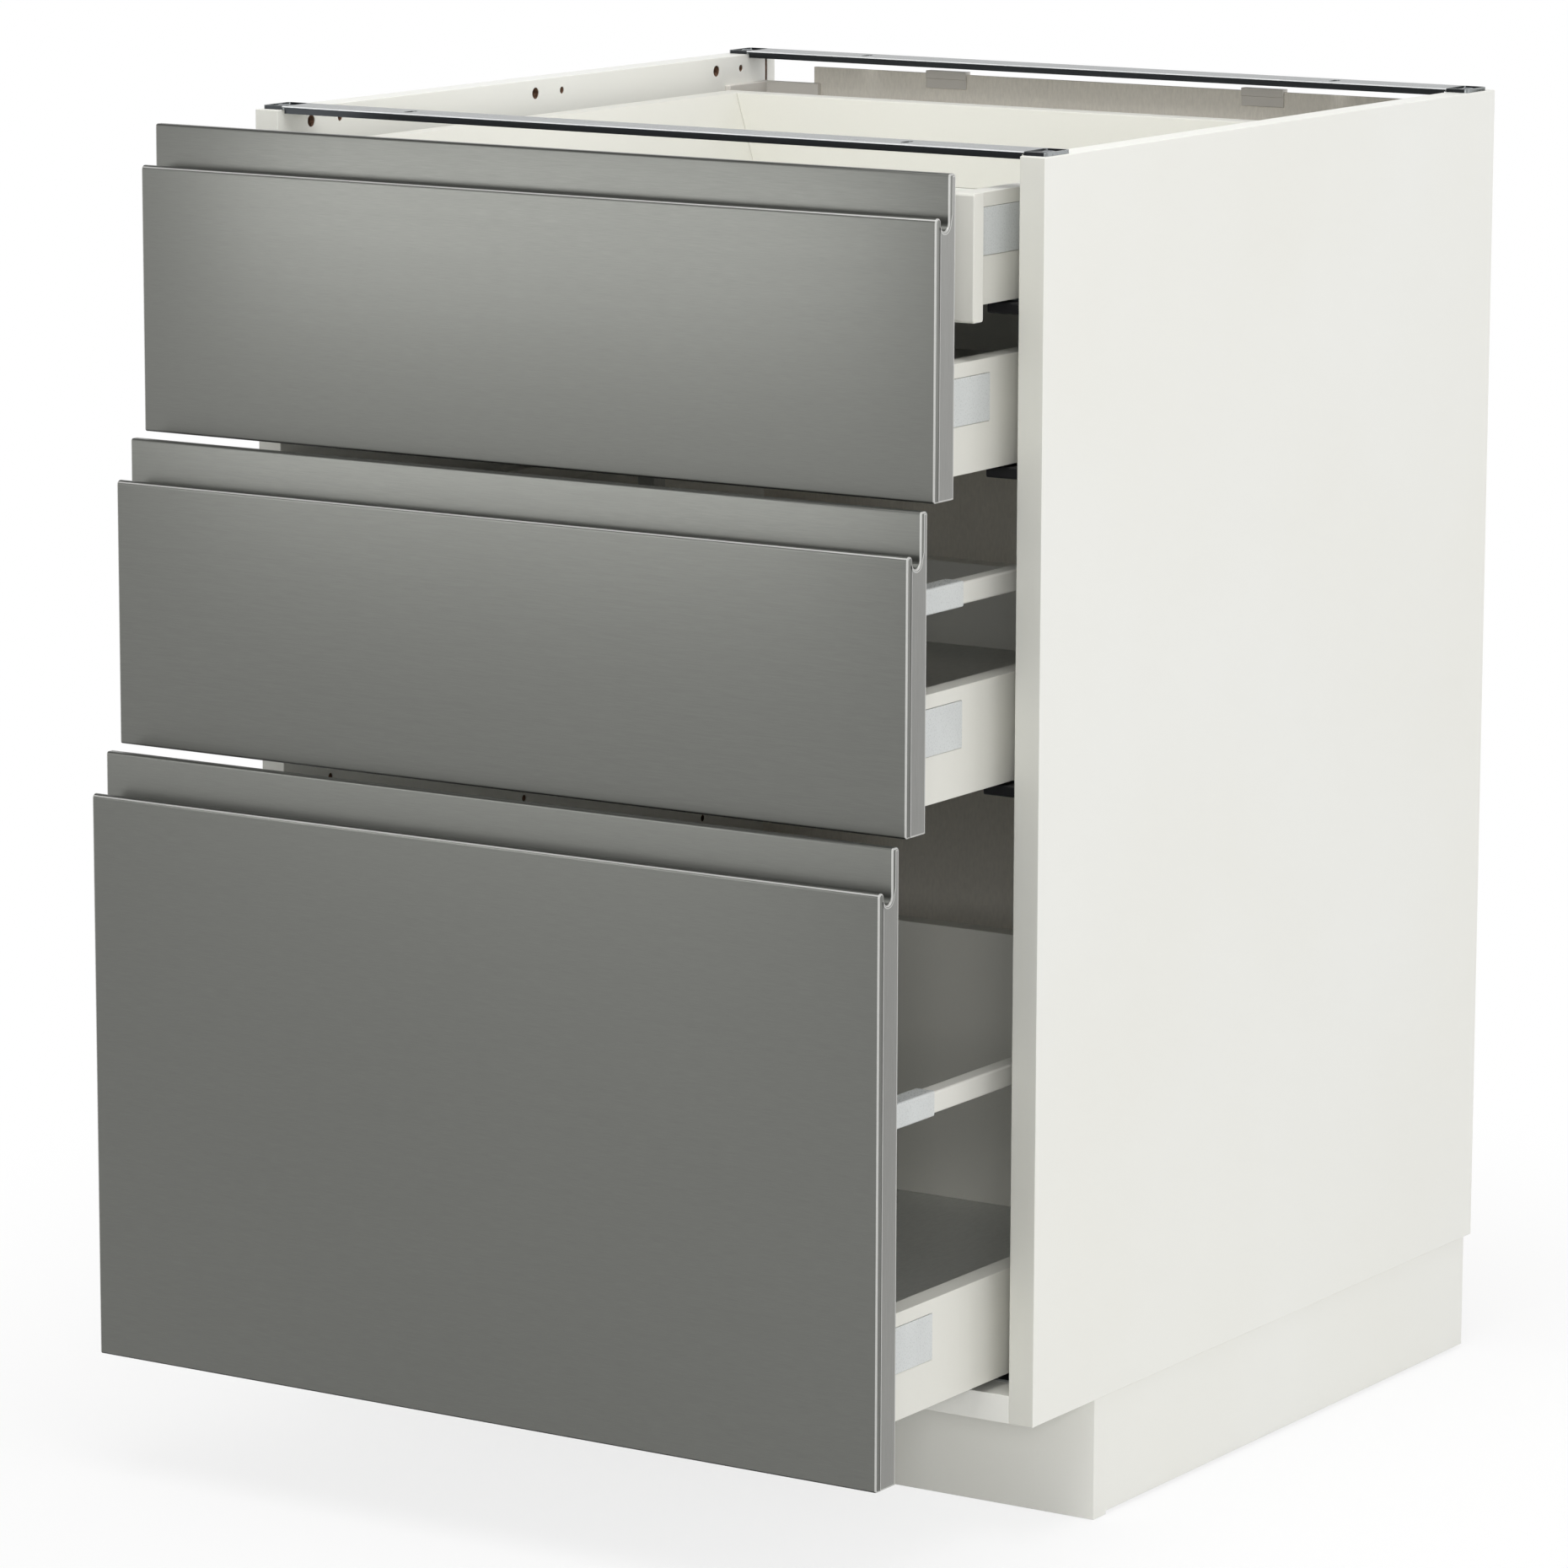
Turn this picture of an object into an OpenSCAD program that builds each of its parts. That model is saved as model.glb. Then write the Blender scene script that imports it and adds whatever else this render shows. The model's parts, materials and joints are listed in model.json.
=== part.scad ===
// Kitchen base cabinet with three handle-less drawer fronts and one inner drawer.
// Millimetres. +X is the viewer's right, +Y runs from the fronts to the wall, +Z is up.
// The origin is on the floor, in the middle of the box that the whole cabinet fills
// with its drawers pulled out as far as the sizes below say.

/* [Cabinet] */
// Width over both side panels
cab_w = 600; // [500:1:900]
// Depth of the side panels
cab_d = 600; // [560:1:700]
// Height of the side panels
cab_h = 800; // [760:1:900]
// Thickness of the side panels and the bottom panel
panel_t = 18; // [16:0.5:19]
// Height from the floor to the side panels
plinth_h = 80; // [70:1:150]

/* [Back panel] */
// Thickness of the back panel
back_t = 3; // [2.5:0.5:5]
// Distance from the side panels' rear edges to the back panel's rear face
back_inset = 10; // [8:0.5:20]
// Depth of the grooves that hold the back panel
back_groove = 8; // [5:0.5:9]
// Distance from the side panels' top edges down to the back panel's top edge
back_drop = 8.6; // [6:0.1:20]
// Width of the cut-outs in the back panel's upper corners, from the side panels
cut_w = 42; // [30:1:60]
// Height of the cut-outs in the back panel's upper corners
cut_h = 40; // [25:1:50]

/* [Rows of fronts] */
// Height of the top row
row_top = 200; // [190:1:240]
// Height of the middle row
row_middle = 200; // [190:1:240]
// Gap between two fronts
reveal = 3; // [2:0.5:5]

/* [How far each drawer is pulled out] */
// Inner drawer
open_inner = 40; // [10:1:50]
// Top drawer
open_top = 100; // [80:1:140]
// Middle drawer
open_middle = 130; // [80:1:150]
// Bottom drawer
open_bottom = 160; // [150:1:220]

/* [Fronts] */
// Thickness of a front
front_t = 22; // [20:0.5:25]
// Gap between a closed front and the side panels
front_gap = 2; // [1:0.5:4]
// Drop from the back lip's top to the front lip's top
lip_drop = 25.4; // [20:0.1:35]
// Thickness of the front lip, which ends in a full round
lip_t = 5.8; // [5:0.1:7]
// Depth of the finger groove below the front lip's top
groove_deep = 8.5; // [7:0.1:14]
// Thickness of the back lip
back_lip_t = 6.8; // [6:0.1:8]
// Radius of a front's outer edges
edge_r = 1.6; // [0.5:0.1:2.5]
// How far the face's foil wraps round each end of a front
wrap = 4.7; // [3:0.1:8]
// Thickness of the band on each end of a front
band_t = 0.6; // [0.4:0.1:1]

/* [Drawers] */
// Gap between a side panel and a drawer side
side_gap = 16; // [14:0.5:20]
// Height of a drawer side
side_h = 69; // [60:1:74]
// Width of a drawer side's top
side_top_w = 15; // [12:0.5:18]
// Width of a drawer side where its inner wall meets the drawer's bottom
side_low_w = 32; // [30:0.5:40]
// Sheet thickness of a drawer side
sheet = 1.5; // [1:0.1:2]
// Width of the flange that carries the drawer's bottom
flange_w = 20; // [12:1:30]
// Thickness of a drawer's bottom
board_t = 10; // [8:0.5:16]
// Thickness of a drawer's back
drawer_back_t = 16; // [12:0.5:18]
// Height of the bottom drawer's back above its sides' lower edges
tall_back_h = 203; // [170:1:220]
// Height from the start of a row to the drawer sides' lower edges
rise = 7; // [7:0.5:12]
// Room behind a closed drawer
rear_room = 47; // [40:1:80]

/* [Inner drawer] */
// Drop from the side panels' top edges to the inner drawer sides' lower edges
inner_drop = 90.7; // [85:0.1:96]
// Thickness of the inner drawer's front
inner_front_t = 12; // [10:0.5:12]
// Height of the inner drawer's front
inner_front_h = 79.5; // [74:0.5:82]
// How far the inner front reaches below its sides' lower edges
inner_front_low = 9.3; // [6:0.1:10]
// How far the inner front reaches past a drawer side
inner_front_over = 6; // [3:0.5:10]
// Distance from the side panels' front edges to the closed inner front
inner_set = 3; // [1:0.5:3]

/* [Gallery rails] */
// Height of a gallery rail
gal_h = 14; // [10:0.5:18]
// Width of a gallery rail
gal_w = 12; // [8:0.5:13]
// Distance from a drawer side's outer face in to the gallery rail's outer face
gal_in = 3; // [1.5:0.5:4]
// Wall of the sleeve at a gallery rail's front end
sleeve_t = 1.2; // [0.8:0.1:1.4]
// Length of the sleeve at a gallery rail's front end
sleeve_len = 99; // [60:1:120]
// How far a gallery rail reaches into its sleeve
sleeve_hold = 79; // [20:1:90]
// Height of the middle drawer's gallery rails, from the sides' lower edges to their centre
gal_z_middle = 125.5; // [95:0.5:140]
// Height of the bottom drawer's gallery rails, from the sides' lower edges to their centre
gal_z_bottom = 192.5; // [150:0.5:205]
// Length of the rear posts that carry the gallery rails
post_len = 14; // [10:1:20]

/* [Cover caps and front brackets] */
// Height of a cover cap
cap_h = 29.5; // [20:0.5:34]
// Length of a cover cap
cap_len = 94; // [60:1:110]
// Distance from the front to a cover cap
cap_start = 1; // [0.5:0.5:10]
// Drop from a drawer side's top to a cover cap's top
cap_drop = 9.2; // [6:0.1:14]
// How far a cover cap stands proud of the drawer side
cap_proud = 0.5; // [0.3:0.1:1]
// Gap round a cover cap
cap_gap = 0.2; // [0.1:0.05:0.4]
// Thickness of a front bracket
bracket_t = 2; // [1.5:0.1:3]
// Length of a front bracket
bracket_len = 70; // [40:1:75]
// Diameter of the plugs that hold a bracket in the front
plug_d = 10; // [8:0.5:10]
// Distance between the two plugs of a bracket
plug_pitch = 32; // [28:1:34]

/* [Runners] */
// Distance from a drawer side's outer face in to the runner's centre line
run_in = 12.5; // [11:0.5:14]
// Sheet thickness of the runners
run_sheet = 1.5; // [1.2:0.1:1.8]
// Thickness of the fixed rail's upstand
stand_t = 3; // [2:0.1:4]
// Height of the upstand above a drawer side's lower edge
stand_h = 28; // [24:0.5:32]
// Drop from a drawer side's lower edge to the fixed rail's underside
rail_drop = 6.5; // [5:0.1:7]
// Height of the fixed rail's flange above a drawer side's lower edge
rail_flange_h = 24; // [20:0.5:26]
// Gap between two sliding members
run_gap = 0.3; // [0.2:0.05:0.5]
// Distance from the side panels' front edges to the runner noses
nose_y = 16; // [15.5:0.5:20]
// Length of a runner nose
nose_len = 12; // [8:1:20]
// Drop from a drawer side's lower edge to a runner nose's underside
nose_drop = 9; // [7:0.5:12]
// Room between the fixed rails and the back panel
rail_rear_room = 49; // [45:1:90]
// Distance from the fixed rail's ends to the closed middle member's ends
slide_in = 15; // [2:1:30]
// Distance from a front to the channel inside a drawer side
chan_start = 80; // [78:1:110]

/* [Top rails] */
// Width of a top rail
trail_w = 29; // [25:0.5:40]
// Sheet thickness of a top rail
trail_t = 1.2; // [1:0.1:2]
// Height of the top rails above the side panels
trail_up = 2.4; // [2:0.1:4]
// Height of a top rail's lips
trail_lip = 4.8; // [4:0.1:7]
// Distance from the side panels' front edges to the front rail
trail_front = 5; // [3:0.5:12]
// Distance from the side panels' rear edges to the rear rail
trail_rear = 8.5; // [5:0.5:20]
// Distance from a side panel's outer face to the end of a top rail
trail_end = 2; // [1:0.5:4]
// Distance from a side panel's outer face in to a worktop slot
slot_in = 111; // [60:1:160]
// Length of a worktop slot
slot_len = 12; // [8:0.5:16]
// Width of a worktop slot
slot_w = 4.4; // [3.5:0.1:6]

/* [Holes in the side panels] */
// Diameter of the linking holes
link_d = 8; // [6:0.5:10]
// Diameter of the small holes
small_d = 5; // [4:0.5:6]
// Depth of the linking holes and the small holes
hole_deep = 12; // [10:0.5:13]
// Drop from a side panel's top edge to the linking holes
link_drop = 9.5; // [8:0.5:14]
// Distance from a side panel's front edge to the first linking hole
link_front = 37; // [34:1:60]
// Distance from a side panel's rear edge to the last linking hole
link_rear = 45; // [42:1:70]
// Distance between the two holes of a linking pair
link_pitch = 32; // [25:1:40]
// Distance from a side panel's front edge to the first column of small holes
column_front = 52; // [50:1:80]
// Distance from a side panel's rear edge to the last column of small holes
column_rear = 94; // [80:1:130]
// Distance between two rows of small holes
column_pitch = 50; // [40:1:64]
// Height from a drawer side's lower edge to its runner's screws
run_screw_z = 13; // [10:0.5:15]

/* [Plinth and legs] */
// Thickness of a plinth board
plinth_t = 16; // [12:0.5:18]
// Distance from the side panels' front edges to the plinth's face
plinth_set = 80; // [50:1:90]
// Distance from a side panel's outer face to the end of the front plinth board
plinth_end = 1.5; // [1:0.5:4]
// Distance from a side panel's outer face to a side plinth board
plinth_side_in = 2; // [1:0.5:8]
// Distance from the side panels' rear edges to the end of a side plinth board
plinth_rear = 7; // [5:1:40]
// Gap under a side plinth board
plinth_lift = 2; // [1:0.5:4]
// Diameter of a leg's tube
leg_d = 30; // [26:1:36]
// Width of a leg's plate
leg_plate = 60; // [50:1:64]
// Distance from a side panel's inner face to a leg's centre
leg_in = 47; // [40:1:60]
// Distance from the front plinth board to the front legs' centres
leg_front = 34; // [33:1:60]
// Distance from the side panels' rear edges to the rear legs' centres
leg_rear = 60; // [50:1:90]
// Diameter of an adjustable foot
foot_d = 50; // [40:1:60]
// Diameter of an adjustable foot's screw
foot_screw_d = 16; // [12:0.5:20]

/* [Small fittings] */
// Length of a rear bracket's arm along the side panel
corner_y = 53; // [40:1:60]
// Length of a rear bracket's arm along the back panel
corner_x = 48; // [44:1:60]
// Thickness of a rear bracket's arms
corner_t = 4.6; // [3:0.1:6]
// Height of a rear bracket
corner_h = 40; // [30:1:42]
// Drop from the side panels' top edges to a rear bracket
corner_drop = 20; // [18:0.5:24]
// Width of a back clip
clip_w = 33; // [25:1:45]
// Distance from the cabinet's middle to a back clip
clip_x = 128; // [80:1:180]
// Height of a back clip below the back panel's top edge
clip_h = 10.4; // [8:0.1:16]
// Thickness of a back clip over the back panel's edge
clip_t = 2; // [1.5:0.1:3]
// Diameter of a cam
cam_d = 15; // [12:0.5:16]
// Depth of a cam
cam_deep = 12.5; // [10:0.5:13]
// Distance from a side panel's inner face to a cam's centre
cam_in = 34; // [25:1:40]
// Distance from the side panels' front edges to the front cams
cam_front = 60; // [40:1:80]
// Distance from the side panels' rear edges to the rear cams
cam_rear = 130; // [120:1:160]

/* [Hidden] */
$fn = 64;
eps = 0.5;

steel_look = "#8f908b";
band_grey = "#8b8b89";
melamine = "#eceae3";
warm_white = "#e6e4dc";
cool_white = "#dfe3e6";
board_grey = "#b4b4ae";
back_grey = "#b5b0a8";
bright_steel = "#c9ccce";
zinc = "#aab0b2";
dark_plastic = "#1e1f20";
pale_plastic = "#dcd9d3";

// Carcass
cab_top = plinth_h + cab_h;
half_in = cab_w / 2 - panel_t;
back_y = cab_d - back_inset - back_t;
back_top = cab_top - back_drop;
back_play = 0.3;
mid_y = (cab_d - open_bottom - front_gap - front_t) / 2;

// Rows
row_bottom = cab_h - row_top - row_middle;
z_row_bottom = plinth_h;
z_row_middle = z_row_bottom + row_bottom;
z_row_top = z_row_middle + row_middle;

// Drawers: the height of each drawer side's lower edge, and the place of each front's back
z_inner = cab_top - inner_drop;
z_top = z_row_top + rise;
z_middle = z_row_middle + rise;
z_bottom = plinth_h + panel_t + rail_drop;
y_top = -front_gap - open_top;
y_middle = -front_gap - open_middle;
y_bottom = -front_gap - open_bottom;
y_inner_closed = inner_set + inner_front_t;
y_inner = y_inner_closed - open_inner;
side_x = half_in - side_gap;
side_len = back_y - rear_room + front_gap;
floor_z = sheet + board_t;
slope = (side_low_w - side_top_w) / (side_h - floor_z);
slope_sheet = sheet * sqrt(1 + slope * slope);

// Fronts
front_w = cab_w - reveal;
groove_w = front_t - lip_t - back_lip_t;
plug_deep = 11;
inner_plug_deep = 7;
inner_edge_r = 2;
peg_play = 0.1;

// Gallery rails
gal_x = side_x - gal_in - gal_w / 2;
gal_start = sleeve_len - sleeve_hold;
gal_peg_d = 8;
gal_peg_deep = 9;
gal_r = 1.5;

// Runners, seen from a drawer side's outer face inwards
rail_y = nose_y + nose_len;
rail_len = back_y - rail_rear_room - rail_y;
slide_len = rail_len - 2 * slide_in;
slide_half = stand_t / 2 + run_gap + run_sheet;
slide_top = stand_h + run_gap + run_sheet;
slide_low = -1;
nose_top = -1.5;
nose_over = 2;
nose_r = 1.5;
chan_half = slide_half + run_gap + sheet;
chan_top = slide_top + run_gap + sheet;
chan_low = 12;
chan_room = 10;
column_y = [
    column_front,
    (column_front + cab_d - column_rear) / 2,
    cab_d - column_rear
];
column_low = plinth_h + 2 * column_pitch;
column_high = cab_top - column_pitch;
screw_head_d = 8;
screw_head_h = 2;
runner_z = [z_inner, z_top, z_middle, z_bottom];

// Linking holes
link_y = [
    link_front,
    (link_front + cab_d - link_rear) / 2,
    cab_d - link_rear - link_pitch
];

// Top rails
trail_top = cab_top + trail_up;
trail_half = cab_w / 2 - trail_end;
trail_y = [trail_front, cab_d - trail_rear - trail_w];
slot_x = cab_w / 2 - slot_in;
tab_over = 2;
tab_rim = 1.2;
tab_r = 3;
rail_screw_d = 4;
rail_screw_len = 30;
rail_head_h = 1;
rail_screw_x = cab_w / 2 - panel_t / 2;

// Legs and plinth
leg_x = half_in - leg_in;
leg_y = [plinth_set + plinth_t + leg_front, cab_d - leg_rear];
leg_plate_t = 4;
leg_peg_d = 10;
leg_peg_h = 12;
leg_low = 22;
foot_t = 6;
plinth_side_x = cab_w / 2 - plinth_side_in - plinth_t;
ring_t = 3;
ring_h = 12;
ring_low = 26;
ring_step = 16;
arm_w = 16;
pad_w = 34;
pad_t = 3;

// Cam fittings
cam_y = [cam_front, cab_d - cam_rear];
cam_bolt_d = 6;
cam_bore_d = 7;
cam_z = plinth_h + panel_t / 2;

// Placing and extruding

module in_place(y = 0, z = 0) {
    translate([0, y - mid_y, z]) children();
}

module pair() {
    children();
    mirror([1, 0, 0]) children();
}

// Extrudes a drawing of X and Z towards the rear
module along_y(length) {
    translate([0, length, 0])
        rotate([90, 0, 0])
            linear_extrude(height = length) children();
}

// Extrudes a drawing of Y and Z to both sides of the middle
module along_x(length) {
    translate([-length / 2, 0, 0])
        rotate([90, 0, 90])
            linear_extrude(height = length) children();
}

// A bore or a pin that starts at X = from and ends at X = to
module x_round(d, from, to) {
    translate([min(from, to), 0, 0])
        rotate([0, 90, 0])
            cylinder(d = d, h = abs(to - from));
}

// A bore or a pin that starts at Y = from and ends at Y = to
module y_round(d, from, to) {
    translate([0, max(from, to), 0])
        rotate([90, 0, 0])
            cylinder(d = d, h = abs(to - from));
}

module rounded_square(w, h, r) {
    translate([r, r]) circle(r = r);
    translate([w - r, r]) circle(r = r);
    translate([r, h - r]) circle(r = r);
    translate([w - r, h - r]) circle(r = r);
    translate([r, 0]) square([w - 2 * r, h]);
    translate([0, r]) square([w, h - 2 * r]);
}

// Carcass

module linking_holes() {
    for (y = link_y) {
        translate([0, y, cab_top - link_drop])
            x_round(link_d, half_in - eps, half_in + hole_deep);
        translate([0, y + link_pitch, cab_top - link_drop])
            x_round(small_d, half_in - eps, half_in + hole_deep);
    }
}

module small_holes() {
    for (y = column_y)
        for (z = [column_low : column_pitch : column_high])
            translate([0, y, z]) x_round(small_d, half_in - eps, half_in + hole_deep);
}

module runner_holes() {
    for (y = column_y)
        for (z = runner_z)
            translate([0, y, z + run_screw_z])
                x_round(small_d, half_in - eps, half_in + hole_deep);
}

module side_panel() {
    difference() {
        translate([half_in, 0, plinth_h]) cube([panel_t, cab_d, cab_h]);
        translate([half_in - eps, back_y, plinth_h - eps])
            cube([back_groove + eps, back_t, cab_h + 2 * eps]);
        linking_holes();
        small_holes();
        runner_holes();
        for (y = trail_y)
            translate([rail_screw_x, y + trail_w / 2, cab_top - rail_screw_len])
                cylinder(d = rail_screw_d, h = rail_screw_len + eps);
        for (y = cam_y)
            translate([0, y, cam_z]) x_round(cam_bolt_d, half_in - eps, half_in + hole_deep);
    }
}

module side_left() {
    color(melamine) in_place() mirror([1, 0, 0]) side_panel();
}

module side_right() {
    color(melamine) in_place() side_panel();
}

module bottom_panel() {
    color(melamine) in_place()
        difference() {
            translate([-half_in, 0, plinth_h]) cube([2 * half_in, back_y, panel_t]);
            pair() {
                for (y = cam_y) {
                    translate([half_in - cam_in, y, plinth_h - eps])
                        cylinder(d = cam_d, h = cam_deep + eps);
                    translate([0, y, cam_z]) x_round(cam_bore_d, half_in - cam_in, half_in + eps);
                }
                for (y = leg_y)
                    translate([leg_x, y, plinth_h - eps])
                        cylinder(d = leg_peg_d + 2 * peg_play, h = leg_peg_h + eps);
            }
        }
}

module back_panel() {
    reach = half_in + back_groove - back_play;
    color(back_grey) in_place(back_y, 0)
        difference() {
            translate([-reach, 0, plinth_h]) cube([2 * reach, back_t, back_top - plinth_h]);
            pair()
                translate([half_in - cut_w, -eps, back_top - cut_h])
                    cube([cut_w + back_groove, back_t + 2 * eps, cut_h + eps]);
        }
}

// A pressed steel rail: a plate with two lips and a shallow tray on each side panel
module top_rail() {
    tab_w = trail_half - half_in;
    difference() {
        union() {
            translate([-half_in, 0, -trail_t]) cube([2 * half_in, trail_w, trail_t]);
            for (y = [0, trail_w - trail_t])
                translate([-half_in + tab_over, y, -trail_lip])
                    cube([2 * (half_in - tab_over), trail_t, trail_lip]);
            pair()
                translate([half_in - tab_over, 0, -trail_up])
                    linear_extrude(height = trail_up)
                        rounded_square(tab_w + tab_over, trail_w, tab_r);
        }
        pair() {
            translate([half_in - tab_over + tab_rim, tab_rim, trail_t - trail_up])
                linear_extrude(height = trail_up)
                    rounded_square(tab_w + tab_over - 2 * tab_rim, trail_w - 2 * tab_rim, tab_r - tab_rim);
            translate([rail_screw_x, trail_w / 2, -trail_up - eps])
                cylinder(d = rail_screw_d, h = trail_up + 2 * eps);
            translate([slot_x, trail_w / 2, -trail_lip]) worktop_slot();
        }
    }
}

module worktop_slot() {
    run = slot_len - slot_w;
    translate([-slot_w / 2, -run / 2, 0]) cube([slot_w, run, 2 * trail_lip]);
    for (y = [-run / 2, run / 2])
        translate([0, y, 0]) cylinder(d = slot_w, h = 2 * trail_lip);
}

module top_rail_front() {
    color(bright_steel) in_place(trail_y[0], trail_top) top_rail();
}

module top_rail_rear() {
    color(bright_steel) in_place(trail_y[1], trail_top) top_rail();
}

module rail_screws() {
    color(zinc) in_place()
        pair()
            for (y = trail_y)
                translate([rail_screw_x, y + trail_w / 2, 0]) {
                    translate([0, 0, cab_top - rail_screw_len])
                        cylinder(d = rail_screw_d, h = rail_screw_len + trail_t + rail_head_h / 2);
                    translate([0, 0, cab_top + trail_t]) cylinder(d = 2 * rail_screw_d, h = rail_head_h);
                }
}

module rear_brackets() {
    color(pale_plastic) in_place(back_y, cab_top - corner_drop - corner_h)
        pair() {
            translate([half_in - corner_t, -corner_y, 0]) cube([corner_t, corner_y, corner_h]);
            translate([half_in - corner_x, -corner_t, 0]) cube([corner_x, corner_t, corner_h]);
            translate([half_in - corner_t, -corner_t, 0])
                linear_extrude(height = corner_t) polygon([[0, 0], [-corner_x / 2, 0], [0, -corner_x / 2]]);
        }
}

module back_clips() {
    leaf_t = 1.6;
    step_z = 0.45 * (clip_h + clip_t);
    color(pale_plastic) in_place(back_y, back_top)
        for (x = [-clip_x, clip_x])
            translate([x - clip_w / 2, 0, 0]) {
                translate([0, -leaf_t, -clip_h]) cube([clip_w, leaf_t, clip_h + clip_t]);
                translate([0, -1.5 * leaf_t, clip_t - step_z]) cube([clip_w, leaf_t, step_z]);
                translate([0, -leaf_t, 0]) cube([clip_w, back_t + 2 * leaf_t, clip_t]);
                translate([0, back_t, -clip_h / 2]) cube([clip_w, leaf_t, clip_h / 2 + clip_t]);
            }
}

// A cam in the bottom panel's underside and its bolt in each side panel
module cam_fittings() {
    color(zinc) in_place()
        pair()
            for (y = cam_y)
                translate([0, y, 0]) {
                    difference() {
                        translate([half_in - cam_in, 0, plinth_h])
                            cylinder(d = cam_d - 2 * peg_play, h = cam_deep);
                        translate([0, 0, cam_z]) x_round(cam_bore_d, half_in - cam_in, half_in);
                    }
                    translate([0, 0, cam_z])
                        x_round(cam_bolt_d, half_in - cam_in, half_in + hole_deep);
                }
}

// Legs and plinth

module at_legs() {
    pair() for (y = leg_y) translate([leg_x, y, 0]) children();
}

module legs() {
    color(dark_plastic) in_place()
        at_legs()
            difference() {
                union() {
                    translate([-leg_plate / 2, -leg_plate / 2, plinth_h - leg_plate_t])
                        cube([leg_plate, leg_plate, leg_plate_t]);
                    translate([0, 0, plinth_h - eps]) cylinder(d = leg_peg_d, h = leg_peg_h);
                    translate([0, 0, leg_low]) cylinder(d = leg_d, h = plinth_h - leg_low - eps);
                }
                translate([0, 0, leg_low - eps])
                    cylinder(d = foot_screw_d + 2 * peg_play, h = plinth_h - 2 * leg_low);
            }
}

module leg_feet() {
    color(dark_plastic) in_place()
        at_legs() {
            cylinder(d = foot_d, h = foot_t);
            cylinder(d = foot_screw_d, h = plinth_h - 1.5 * leg_low);
        }
}

module plinth_front() {
    reach = cab_w / 2 - plinth_end;
    color(melamine) in_place(plinth_set, 0)
        translate([-reach, 0, 0]) cube([2 * reach, plinth_t, plinth_h]);
}

module plinth_side() {
    start = plinth_set + plinth_t;
    translate([plinth_side_x, start, plinth_lift])
        cube([plinth_t, cab_d - plinth_rear - start, plinth_h - plinth_lift]);
}

module plinth_left() {
    color(melamine) in_place() mirror([1, 0, 0]) plinth_side();
}

module plinth_right() {
    color(melamine) in_place() plinth_side();
}

// A ring round a leg with an arm to a pad on a plinth board, which lies towards -Y
module plinth_clip(reach) {
    difference() {
        union() {
            cylinder(d = leg_d + 2 * ring_t, h = ring_h);
            translate([-arm_w / 2, -reach, 0]) cube([arm_w, reach, ring_h]);
            translate([-pad_w / 2, -reach, 0]) cube([pad_w, pad_t, ring_h]);
        }
        translate([0, 0, -eps]) cylinder(d = leg_d + 2 * peg_play, h = ring_h + 2 * eps);
        translate([-arm_w / 2, 0, -eps]) cube([arm_w, leg_d, ring_h + 2 * eps]);
    }
}

module plinth_clips() {
    color(pale_plastic) in_place() {
        pair()
            translate([leg_x, leg_y[0], ring_low + ring_step]) plinth_clip(leg_front);
        at_legs()
            translate([0, 0, ring_low]) rotate([0, 0, 90]) plinth_clip(plinth_side_x - leg_x);
    }
}

// Runners

// Fixed rail: a flange on the side panel, a web under the drawer side and an upstand inside it
module fixed_rail() {
    inner = side_x - run_in - stand_t / 2;
    difference() {
        along_y(rail_len) {
            translate([half_in - run_sheet, -rail_drop]) square([run_sheet, rail_drop + rail_flange_h]);
            translate([inner, -rail_drop]) square([half_in - inner, run_sheet]);
            translate([inner, -rail_drop]) square([stand_t, rail_drop + stand_h]);
        }
        for (y = column_y)
            translate([0, y - rail_y, run_screw_z])
                x_round(small_d + 2 * peg_play, half_in - 2 * run_sheet, half_in + eps);
    }
}

module runner_rails() {
    color(zinc)
        for (z = runner_z)
            in_place(rail_y, z) pair() fixed_rail();
}

module runner_nose() {
    inner = side_x - run_in - stand_t / 2 - nose_over;
    nose_w = half_in - inner;
    translate([inner + nose_w / 2, 0, -nose_drop])
        along_x(nose_w)
            rounded_square(nose_len, nose_drop + nose_top, nose_r);
}

module runner_noses() {
    color(dark_plastic)
        for (z = [z_inner, z_top, z_middle])
            in_place(nose_y, z) pair() runner_nose();
}

module runner_screws() {
    color(zinc)
        for (z = runner_z)
            in_place(0, z + run_screw_z)
                pair()
                    for (y = column_y)
                        translate([0, y, 0]) {
                            x_round(small_d, half_in - run_sheet, half_in + hole_deep - 1);
                            x_round(screw_head_d, half_in - run_sheet - screw_head_h, half_in - run_sheet);
                        }
}

// Middle member: an upside-down U over the fixed rail's upstand
module middle_member(opened) {
    x = side_x - run_in;
    translate([0, slide_in - opened / 2, 0])
        along_y(slide_len)
            difference() {
                translate([x - slide_half, slide_low])
                    square([2 * slide_half, slide_top - slide_low]);
                translate([x - slide_half + run_sheet, slide_low - eps])
                    square([2 * (slide_half - run_sheet), stand_h + run_gap - slide_low + eps]);
            }
}

module slide_pair(z, opened) {
    color(bright_steel) in_place(rail_y, z) pair() middle_member(opened);
}

module inner_slides() {
    slide_pair(z_inner, open_inner);
}

module top_slides() {
    slide_pair(z_top, open_top);
}

module middle_slides() {
    slide_pair(z_middle, open_middle);
}

module bottom_slides() {
    slide_pair(z_bottom, open_bottom);
}

// Drawer pieces. Y = 0 is the back of the drawer's front, Z = 0 the sides' lower edge.

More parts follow.
